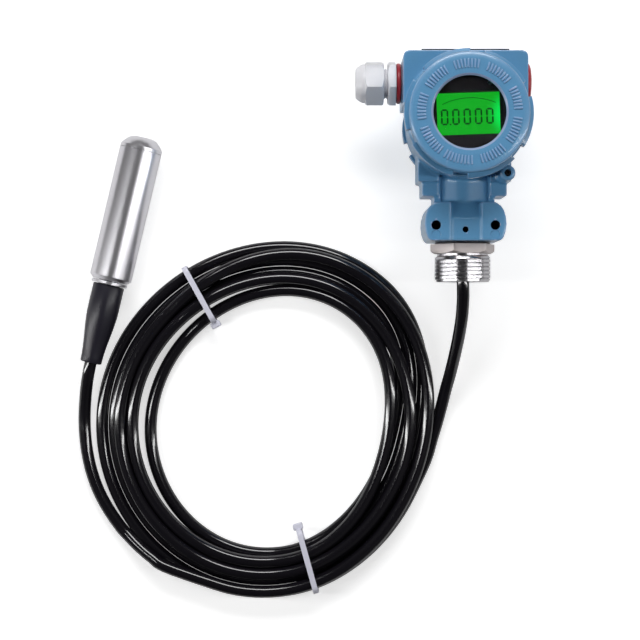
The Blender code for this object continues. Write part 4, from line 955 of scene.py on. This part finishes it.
def threadRidge(name, root, crest, pitch, turns, flat):
    # one flat-topped ridge wound up a helix round +Z; flat is the crest's half width
    half = pitch * 0.46
    corners = [(root - 0.25, 0, -half), (root, 0, -half), (crest, 0, -flat), (crest, 0, flat),
               (root, 0, half), (root - 0.25, 0, half)]
    piece = drawLine(name, corners + [corners[0]])
    bpy.ops.object.mode_set(mode="OBJECT")
    pick(piece)
    bpy.ops.object.transform_apply(location=True, rotation=True, scale=True)
    modify(piece, "SCREW", angle=2 * math.pi * turns, screw_offset=pitch * turns * mm,
           steps=int(64 * turns), render_steps=int(64 * turns), axis="Z", use_merge_vertices=False)
    pick(piece)
    bpy.ops.object.mode_set(mode="EDIT")
    bpy.ops.mesh.select_mode(type="VERT")
    bpy.ops.mesh.select_all(action="DESELECT")
    bpy.ops.mesh.select_non_manifold()
    bpy.ops.mesh.edge_face_add()
    bpy.ops.mesh.select_all(action="SELECT")
    bpy.ops.mesh.normals_make_consistent(inside=False)
    bpy.ops.object.mode_set(mode="OBJECT")
    return piece


def fadeEnds(piece, centre, axis, root, crest, low, high, run):
    # the ridge rises from the root over the length run, and sinks back into it at its far end
    for vertex in piece.data.vertices:
        offset = vertex.co / mm - Vector(centre)
        height = offset.dot(axis)
        across = offset - axis * height
        near = max(0.0, min(height - low, high - height)) / run
        limit = root - 0.1 + (crest - root + 0.1) * min(1.0, near)
        if across.length > limit:
            across *= limit / across.length
        height = max(low, min(high, height))
        vertex.co = (Vector(centre) + axis * height + across) * mm
    return piece


def lieAlong(piece, centre, axis, low):
    # turns a piece built up +Z so that it points along axis, from low
    pick(piece)
    piece.rotation_mode = "QUATERNION"
    piece.rotation_quaternion = axis.to_track_quat("Z", "Y")
    piece.location = (Vector(centre) + axis * low) * mm
    bpy.ops.object.transform_apply(location=True, rotation=True, scale=True)
    return piece


def buildGlandBody(centre):
    g = gland
    fit, low, end = g["fit"], g["shankLow"], g["threadEnd"]
    washer = turnPiece("glandWasher", bevelled(g["shank"] + fit, g["washerRadius"], g["washerLow"],
                                               g["washerHigh"], g["washerEdge"]),
                       centre, glandOut, ring=True)
    bevelEdges(washer, 0.3)
    place(smooth(washer), "red", "red_plastic", "head", ("gland_washer",))
    body = chamferedHexagon("glandBody", g["flats"], centre, glandOut, g["hexLow"], g["hexHigh"],
                            g["turn"], g["chamfer"], (False, True))
    root, step = g["threadRadius"] - g["threadDepth"], g["hexLow"] + 1
    carve(body, turnPiece("glandCore", rod((g["shank"], low, step), (root, step, end)),
                          centre, glandOut, 64), operation="UNION")
    carve(body, turnPiece("boreCut", rod((g["bore"], low - 1, end + 1)), centre, glandOut, 48))
    ridge = threadRidge("glandThread", root, g["threadRadius"], g["threadPitch"],
                        g["threadTurns"], g["crestHalf"])
    lieAlong(ridge, centre, glandOut, g["hexHigh"] + 0.4)
    joinPieces(body, ridge)
    bevelEdges(body, 0.25, 2, 35)
    place(smooth(body), "white", "white_plastic", "head", ("gland_body",))


def buildGlandNut(centre):
    g = gland
    fit, end, high = g["fit"], g["threadEnd"], g["nutHigh"]
    domeLow = high - g["domeLength"]
    nut = chamferedHexagon("glandNut", g["flats"], centre, glandOut, g["nutLow"], domeLow,
                           g["turn"], g["chamfer"])
    base = g["flats"] / 2 - 0.5
    dome = [(0, domeLow - 2), (base, domeLow - 2), (base, domeLow + 0.4)]
    for step in range(1, g["domeSteps"] + 1):
        lean = step * math.pi / 25
        dome.append((base - g["domeShrink"] * (1 - math.cos(lean)),
                     domeLow + 0.4 + (g["domeLength"] - 0.4) * step / g["domeSteps"]))
    dome.append((0, high))
    carve(nut, turnPiece("domeForm", dome, centre, glandOut, 72), operation="UNION")
    wall = high - g["endWall"]
    carve(nut, turnPiece("nutCut", rod((g["nutBore"], g["nutLow"] - 1, wall),
                                       (g["endRadius"], wall, high + 1)), centre, glandOut, 64))
    bevelEdges(nut, 0.35, 3, 25)
    place(smooth(nut, 40), "white", "white_plastic", "gland_nut", ("gland_nut",))
    wide, narrow = g["nutBore"] - fit, g["endRadius"] - fit
    insert = turnPiece("glandInsert",
                       [(g["insertBore"], end + fit), (wide, end + fit), (wide, wall - fit),
                        (narrow, wall - fit), (narrow, high - 1), (g["insertBore"], high - 1)],
                       centre, glandOut, 48, ring=True)
    bevelEdges(insert, 0.3)
    place(smooth(insert), "rubber", "black_rubber", "gland_seal", ("gland_insert",))


glandCentre = (0, gland["y"], gland["z"])
buildGlandBody(glandCentre)
buildGlandNut(glandCentre)
print("gland built")

# Plug in the right entry
plug = {"y": 23.2, "z": 46.0, "low": 36.6, "radius": 12.0, "rim": 2.2, "height": 4.2,
        "shank": 9.7, "wall": 2.0, "depth": 12.0, "shankEdge": 0.5, "rimEdge": 0.3, "flat": 0.3,
        "domeSteps": 8}


def buildPlug():
    p = plug
    low, bottom = p["low"], p["low"] - p["depth"]
    inner = p["shank"] - p["wall"]
    shank, radius, edge, lip = p["shank"], p["radius"], p["shankEdge"], p["rimEdge"]
    profile = [(0, low), (inner, low), (inner, bottom), (shank - edge, bottom),
               (shank, bottom + edge), (shank, low), (radius - lip, low), (radius, low + lip),
               (radius, low + p["rim"])]
    for step in range(1, p["domeSteps"] + 1):
        lean = step * math.pi / 2 / p["domeSteps"]
        profile.append((radius * (0.62 + 0.38 * math.cos(lean)),
                        low + p["rim"] + (p["height"] - p["rim"] - 0.2) * math.sin(lean)))
    profile += [(radius * p["flat"], low + p["height"]), (0, low + p["height"])]
    piece = turnPiece("conduitPlug", profile, (0, p["y"], p["z"]), Vector((1, 0, 0)), 96)
    return smooth(piece, 40)


place(buildPlug(), "red", "red_plastic", "conduit_plug", ("conduit_plug",))
print("plug built")

# Process connector: hexagon, pipe thread, gasket and cable bush
connector = {"axisZ": 50.0, "gasketLow": 71.7, "gasketHigh": 72.5, "gasketInner": 12.0,
             "gasketOuter": 16.4, "stub": 11.7, "stubLow": 59.4, "hexLow": 72.8, "hexHigh": 78.4,
             "flats": 34.0, "turn": -10.0, "chamfer": 1.0, "relief": 15.0, "threadLow": 80.2,
             "threadEnd": 95.05, "crest": 16.6, "root": 15.7, "crestHalf": 0.7, "pitch": 2.309,
             "turns": 6.15, "leadIn": 0.8, "leadOut": 0.15, "fade": 1.5, "fit": 0.3,
             "bore": 5.0, "bushRadius": 8.0, "bushLength": 12.0}


def buildConnector():
    k = connector
    centre = (0, 0, k["axisZ"])
    hexagon = chamferedHexagon("connectorHexagon", k["flats"], centre, threadWay, k["hexLow"],
                               k["hexHigh"], k["turn"], k["chamfer"], (False, True))
    carve(hexagon, turnPiece("stubForm", rod((k["stub"], k["stubLow"], k["hexLow"] + 1)),
                             centre, threadWay, 64), operation="UNION")
    carve(hexagon, turnPiece("boreCut", rod((k["bore"], k["stubLow"] - 1, k["hexHigh"] + 1)),
                             centre, threadWay, 48))
    bevelEdges(hexagon, 0.3, 3, 25)
    place(smooth(hexagon, 40), "hexagon", "grey_metal", "head", ("process_connector",))
    low, end, root, fit = k["threadLow"], k["threadEnd"], k["root"], k["fit"]
    seat = end - k["bushLength"]
    pocket = k["bushRadius"] + fit
    core = turnPiece("connectorThread",
                     [(k["bore"], k["hexHigh"]), (k["relief"], k["hexHigh"]),
                      (k["relief"], low - 0.4), (root, low), (root, end - fit), (root - fit, end),
                      (pocket + fit, end), (pocket, end - fit), (pocket, seat - fit),
                      (k["bore"], seat - fit)], centre, threadWay, 96, ring=True)
    ridge = threadRidge("ridge", root, k["crest"], k["pitch"], k["turns"], k["crestHalf"])
    lieAlong(ridge, centre, threadWay, low)
    fadeEnds(ridge, centre, threadWay, root, k["crest"], low - k["leadIn"],
             end - k["leadOut"], k["fade"])
    joinPieces(core, ridge)
    place(smooth(core, 25), "thread", "grey_metal", "head")
    gasket = turnPiece("connectorGasket", band(k["gasketInner"], k["gasketOuter"], k["gasketLow"],
                                               k["gasketHigh"]), centre, threadWay, 96, ring=True)
    bevelEdges(gasket, 0.25)
    place(smooth(gasket), "rubber", "black_rubber", "head", ("connector_gasket",))
    hole = cable["radius"]
    bush = turnPiece("cableBush",
                     [(hole + 0.2, seat), (k["bushRadius"], seat), (k["bushRadius"], end - 0.2),
                      (hole + 1.6, end), (hole + 0.2, end - 0.6)], centre, threadWay, 64,
                     ring=True)
    place(smooth(bush), "rubber", "black_rubber", "head", ("cable_bush",))


buildConnector()
print("connector built")

# Probe: steel tube, cap, collar and rubber boot
tube = {"chamfer": 2.4, "cavity": 11.0, "floor": 6.0, "inlet": 7.0, "seatRadius": 10.2,
        "seatDepth": 15.0, "threadRadius": 11.6, "threadLength": 7.0,
        "capLow": 82.3, "capStraight": 2.0, "capDome": 6.0, "capNose": 5.4, "capHole": 2.2,
        "spigot": 11.3, "ringNeck": 9.9, "ringHigh": 81.4, "ringLow": 79.4, "capEnd": 75.3,
        "capInner": 8.1,
        "collarRadius": 11.0, "collarLow": -2.3, "collarHigh": -0.3,
        "bootHigh": -2.6, "bootLength": 49.0, "bootRadius": 9.6, "bootStraight": 15.0,
        "bootEnd": 6.6, "bootSpigot": 8.0, "bootLip": 0.9, "bootSteps": 12, "domeSteps": 16,
        "fit": 0.3}


def buildTube():
    t = tube
    radius, length = probe["radius"], probe["length"]
    seat = length - t["seatDepth"]
    tip, cavity, foot = radius - t["chamfer"], t["cavity"], length - t["threadLength"]
    body = turnPiece("probeTube",
                     [(t["inlet"], 0), (tip - 0.1, 0), (tip + 0.2, 0.12),
                      (radius - 0.15, t["chamfer"] - 0.25), (radius, t["chamfer"] + 0.1),
                      (radius, length - 0.15), (radius - 0.15, length), (t["threadRadius"], length),
                      (t["threadRadius"], foot), (t["seatRadius"], foot), (t["seatRadius"], seat),
                      (cavity - 2, seat), (cavity - 2, seat - 2), (cavity, seat - 4),
                      (cavity, t["floor"]), (t["inlet"], t["floor"])],
                     probeOrigin, probeAxis, 128, ring=True)
    place(smooth(body, 20), "probeSteel", "steel", "head", ("probe_tube",))


def buildCap():
    t, radius = tube, probe["radius"]
    low, spigot, neck, nose = t["capLow"], t["spigot"], t["ringNeck"], t["capNose"]
    domeLow = low + t["capStraight"]
    top = domeLow + t["capDome"]
    profile = [(t["capHole"], low), (t["capInner"], low), (t["capInner"], t["capEnd"]),
               (spigot, t["capEnd"]), (spigot, t["ringLow"]), (neck, t["ringLow"]),
               (neck, t["ringHigh"]), (spigot, t["ringHigh"]), (spigot, low),
               (radius - 0.12, low), (radius, low + 0.12)]
    for step in range(t["domeSteps"] + 1):
        share = 1 - step / t["domeSteps"]
        profile.append((nose + (radius - nose) * share - 0.02,
                        domeLow + t["capDome"] * (1 - share ** 2)))
    profile += [(t["capHole"] + 0.3, top), (t["capHole"], top - 0.3)]
    cap = turnPiece("probeCap", profile, probeOrigin, probeAxis, 128, ring=True)
    place(smooth(cap, 25), "probeSteel", "steel", "probe_cap", ("probe_cap",))


def buildBoot():
    t = tube
    collar = turnPiece("probeCollar", bevelled(t["inlet"], t["collarRadius"], t["collarLow"],
                                               t["collarHigh"], t["fit"]),
                       probeOrigin, probeAxis, 96, ring=True)
    place(smooth(collar), "probeSteel", "steel", "head", ("probe_collar",))
    wide, end, lip, high = t["bootRadius"], t["bootEnd"], t["bootLip"], t["bootHigh"]
    low = high - t["bootLength"]
    run = t["bootLength"] - t["bootStraight"] - lip
    hole, spigot = cable["radius"] + 0.25, t["inlet"] - t["fit"]
    boot = [(hole, low), (end - lip, low), (end - 0.25, low + 0.25), (end, low + lip)]
    for step in range(1, t["bootSteps"] + 1):
        share = step / t["bootSteps"]
        boot.append((end + (wide - end) * eased(share), low + lip + run * share))
    boot += [(wide, high - 0.7), (wide - 0.2, high - 0.2), (wide - 0.7, high), (spigot, high),
             (spigot, high + t["bootSpigot"]), (hole, high + t["bootSpigot"])]
    sleeve = turnPiece("probeBoot", boot, probeOrigin, probeAxis, 96, ring=True)
    place(smooth(sleeve, 35), "rubber", "black_rubber", "head", ("probe_boot",))


buildTube()
buildCap()
buildBoot()
print("probe built")

# Ties: a strap round the coil, with a lock head at the hole
ties = {"thickness": 1.1, "width": 3.4, "clearance": 0.35, "corner": 3.4, "coilHeight": 15.2,
        "headWidth": 6.2, "headHeight": 4.4, "headDepth": 3.9, "edge": 0.25, "headEdge": 0.7,
        "cornerSteps": 6}


def buildTie(name, degrees, node):
    t = ties
    angle = math.radians(degrees)
    low = t["thickness"]
    inner = coilEdge(angle, False) - t["clearance"]
    outer = coilEdge(angle, True) + t["clearance"]
    top = tieLift(angle) + t["coilHeight"] + t["clearance"]
    bend = t["corner"]
    outline = []
    for x, z, start in ((outer - bend, low + bend, -90), (outer - bend, top - bend, 0),
                        (inner + bend, top - bend, 90), (inner + bend, low + bend, 180)):
        for step in range(t["cornerSteps"] + 1):
            lean = math.radians(start + 90 * step / t["cornerSteps"])
            outline.append((x + bend * math.cos(lean), -t["width"] / 2, z + bend * math.sin(lean)))
    strap = drawLine(name, outline + [outline[0]])
    bpy.ops.mesh.extrude_region_move(TRANSFORM_OT_translate={"value": (0, t["width"] * mm, 0)})
    bpy.ops.mesh.select_all(action="SELECT")
    bpy.ops.mesh.normals_make_consistent(inside=False)
    bpy.ops.object.mode_set(mode="OBJECT")
    modify(strap, "SOLIDIFY", thickness=t["thickness"] * mm, offset=1.0, use_even_offset=True)
    bevelEdges(strap, t["edge"], 2, 40)
    headHigh = top - bend
    face, half = inner - t["thickness"] / 2, t["headWidth"] / 2
    head = blockPiece("tieHead", (face - t["headDepth"], -half, headHigh - t["headHeight"]),
                      (face, half, headHigh))
    bevelEdges(head, t["headEdge"], 3)
    joinPieces(strap, head)
    strap.rotation_euler = (0, 0, angle)
    strap.location = Vector((*cable["coilCentre"], 0)) * mm
    bpy.ops.object.transform_apply(location=True, rotation=True, scale=True)
    return place(smooth(strap, 35), "tie", "tie_plastic", "head", (node,))


tiePieces = [buildTie("upperTie", cable["tieAngles"][0], "tie_upper"),
             buildTie("lowerTie", cable["tieAngles"][1], "tie_lower")]
print("ties built")

# Seal rings, and the CAD pieces that keep their shape
seals = (
    {"name": "frontSeal", "node": "front_cover_oring", "radius": 31.5, "height": 85.8,
     "cord": 1.15, "centre": origin, "axis": up, "body": "front_seal"},
    {"name": "rearSeal", "node": "rear_cover_oring", "radius": 28.5, "height": 14.2,
     "cord": 1.15, "centre": origin, "axis": up, "body": "rear_seal"},
    {"name": "sensorSeal", "node": "sensor_oring", "radius": 9.3, "height": 71.3,
     "cord": 0.88, "centre": probeOrigin, "axis": probeAxis, "body": "head"},
    {"name": "capSeal", "node": "probe_cap_oring", "radius": 10.75, "height": 80.4,
     "cord": 0.68, "centre": probeOrigin, "axis": probeAxis, "body": "cap_seal"},
)
for seal in seals:
    section = [(seal["radius"] + seal["cord"] * math.cos(2 * math.pi * k / 12),
                seal["height"] + seal["cord"] * math.sin(2 * math.pi * k / 12))
               for k in range(12)]
    ring = turnPiece(seal["name"], section, seal["centre"], seal["axis"], 96, ring=True)
    place(smooth(ring, 60), "rubber", "black_rubber", seal["body"], (seal["node"],))

keptFinishes = {"display_board": "board", "probe_board": "board", "terminal_block": "terminal",
                # the lock screw's near-black finish is painted shade for its recessed hole
                "sensor_cell": "ceramic", "ground_screw": "screw", "lock_screw": "screwPaintedShade",
                "display_screw_left": "screw", "display_screw_right": "screw",
                "terminal_screw_1": "screw", "terminal_screw_2": "screw",
                "terminal_screw_3": "screw"}
for node, finish in keptFinishes.items():
    for slot in bpy.data.objects[node].material_slots:
        slot.material = materials[finish]
print("small pieces finished")

# Studio: white floor and sky, a soft light beyond the head, and two long strips for the streaks
studio = {"floorSize": 12.0, "floorColor": 0.80, "floorGlow": 0.57, "diffuse": 0.30,
          "floorGloss": 0.12,
          "glossSky": ((0.0, 0.80), (0.05, 1.2), (0.22, 1.2), (0.28, 0.46), (0.62, 0.46),
                       (0.68, 1.2), (0.94, 1.2), (1.0, 0.6)),
          "floorNear": 0.5, "floorFar": 1.8, "farGlow": 0.80}
lamps = (
    {"name": "mainSoft", "place": (-0.05, 0.85, 0.95), "aim": (-0.06, -0.06, 0.03),
     "size": (0.9, 0.35), "power": 10.2},
    {"name": "leftStrip", "place": (-0.95, -0.15, 0.45), "aim": (-0.1, -0.12, 0.0),
     "size": (0.07, 1.5), "power": 6.0},
    {"name": "rightStrip", "place": (0.90, -0.15, 0.85), "aim": (-0.1, -0.12, 0.0),
     "size": (0.06, 1.5), "power": 5.5},
)


def addFloor():
    plain()
    bpy.ops.mesh.primitive_plane_add(size=studio["floorSize"])
    floor = bpy.context.object
    floor.name = "floor"
    material, tree, shader = startMaterial("floorWhite")
    shade = studio["floorColor"]
    setSockets(shader, {"Base Color": (shade, shade, shade, 1), "Roughness": 0.9,
                        "Specular IOR Level": 0.0, "Emission Color": (1, 1, 1, 1)})
    path = addNode(tree, "LightPath")
    seen = addNode(tree, "Math", operation="MAXIMUM")
    direct = addNode(tree, "Math", operation="MULTIPLY")
    glow = addNode(tree, "Math", {1: studio["floorGloss"]}, operation="MULTIPLY_ADD")
    where = addNode(tree, "TexCoord")
    away = addNode(tree, "VectorMath", operation="LENGTH")
    brighter = addNode(tree, "MapRange", {
        "From Min": studio["floorNear"], "From Max": studio["floorFar"],
        "To Min": studio["floorGlow"], "To Max": studio["farGlow"]})
    linkAll(tree, (where, "Object", away, 0), (away, "Value", brighter, "Value"),
            (path, "Is Camera Ray", seen, 0), (path, "Is Transmission Ray", seen, 1),
            (seen, 0, direct, 0), (brighter, "Result", direct, 1),
            (path, "Is Glossy Ray", glow, 0), (direct, 0, glow, 2),
            (glow, 0, shader, "Emission Strength"))
    floor.data.materials.append(material)


def addSky():
    # glossy surfaces see the ramp across X, the camera sees white, and the rest is lit evenly
    world = bpy.data.worlds.new("studioSky")
    world.use_nodes = True
    bpy.context.scene.world = world
    tree = world.node_tree
    background = tree.nodes["Background"]
    where = addNode(tree, "TexCoord")
    split = addNode(tree, "SeparateXYZ")
    across = addNode(tree, "MapRange", {"From Min": -1.0})
    ramp = addNode(tree, "ValToRGB")
    stops = ramp.color_ramp.elements
    first, *middle, last = studio["glossSky"]
    for element, (place, shade) in zip(stops, (first, last)):
        element.position = place
        element.color = (shade, shade, shade, 1)
    for place, shade in middle:
        stops.new(place).color = (shade, shade, shade, 1)
    path = addNode(tree, "LightPath")
    glossy = addNode(tree, "Mix", {"A": studio["diffuse"]})
    white = addNode(tree, "Math", operation="MAXIMUM")
    seen = addNode(tree, "Mix", {"B": 1.0})
    linkAll(tree, (where, "Generated", split, 0), (split, "X", across, "Value"),
            (across, "Result", ramp, "Fac"), (path, "Is Glossy Ray", glossy, "Factor"),
            (ramp, "Color", glossy, "B"), (path, "Is Camera Ray", white, 0),
            (path, "Is Transmission Ray", white, 1), (white, 0, seen, "Factor"),
            (glossy, "Result", seen, "A"), (seen, "Result", background, "Strength"))


def addLamp(lamp):
    light = bpy.data.lights.new(lamp["name"], "AREA")
    light.shape = "RECTANGLE"
    light.size, light.size_y = lamp["size"]
    light.energy = lamp["power"]
    holder = bpy.data.objects.new(lamp["name"], light)
    holder.location = lamp["place"]
    holder.rotation_euler = (Vector(lamp["aim"]) - Vector(lamp["place"])).to_track_quat(
        "-Z", "Y").to_euler()
    bpy.context.scene.collection.objects.link(holder)


addFloor()
addSky()
for lamp in lamps:
    addLamp(lamp)
bpy.context.scene.view_settings.view_transform = "Standard"
print("studio lit")
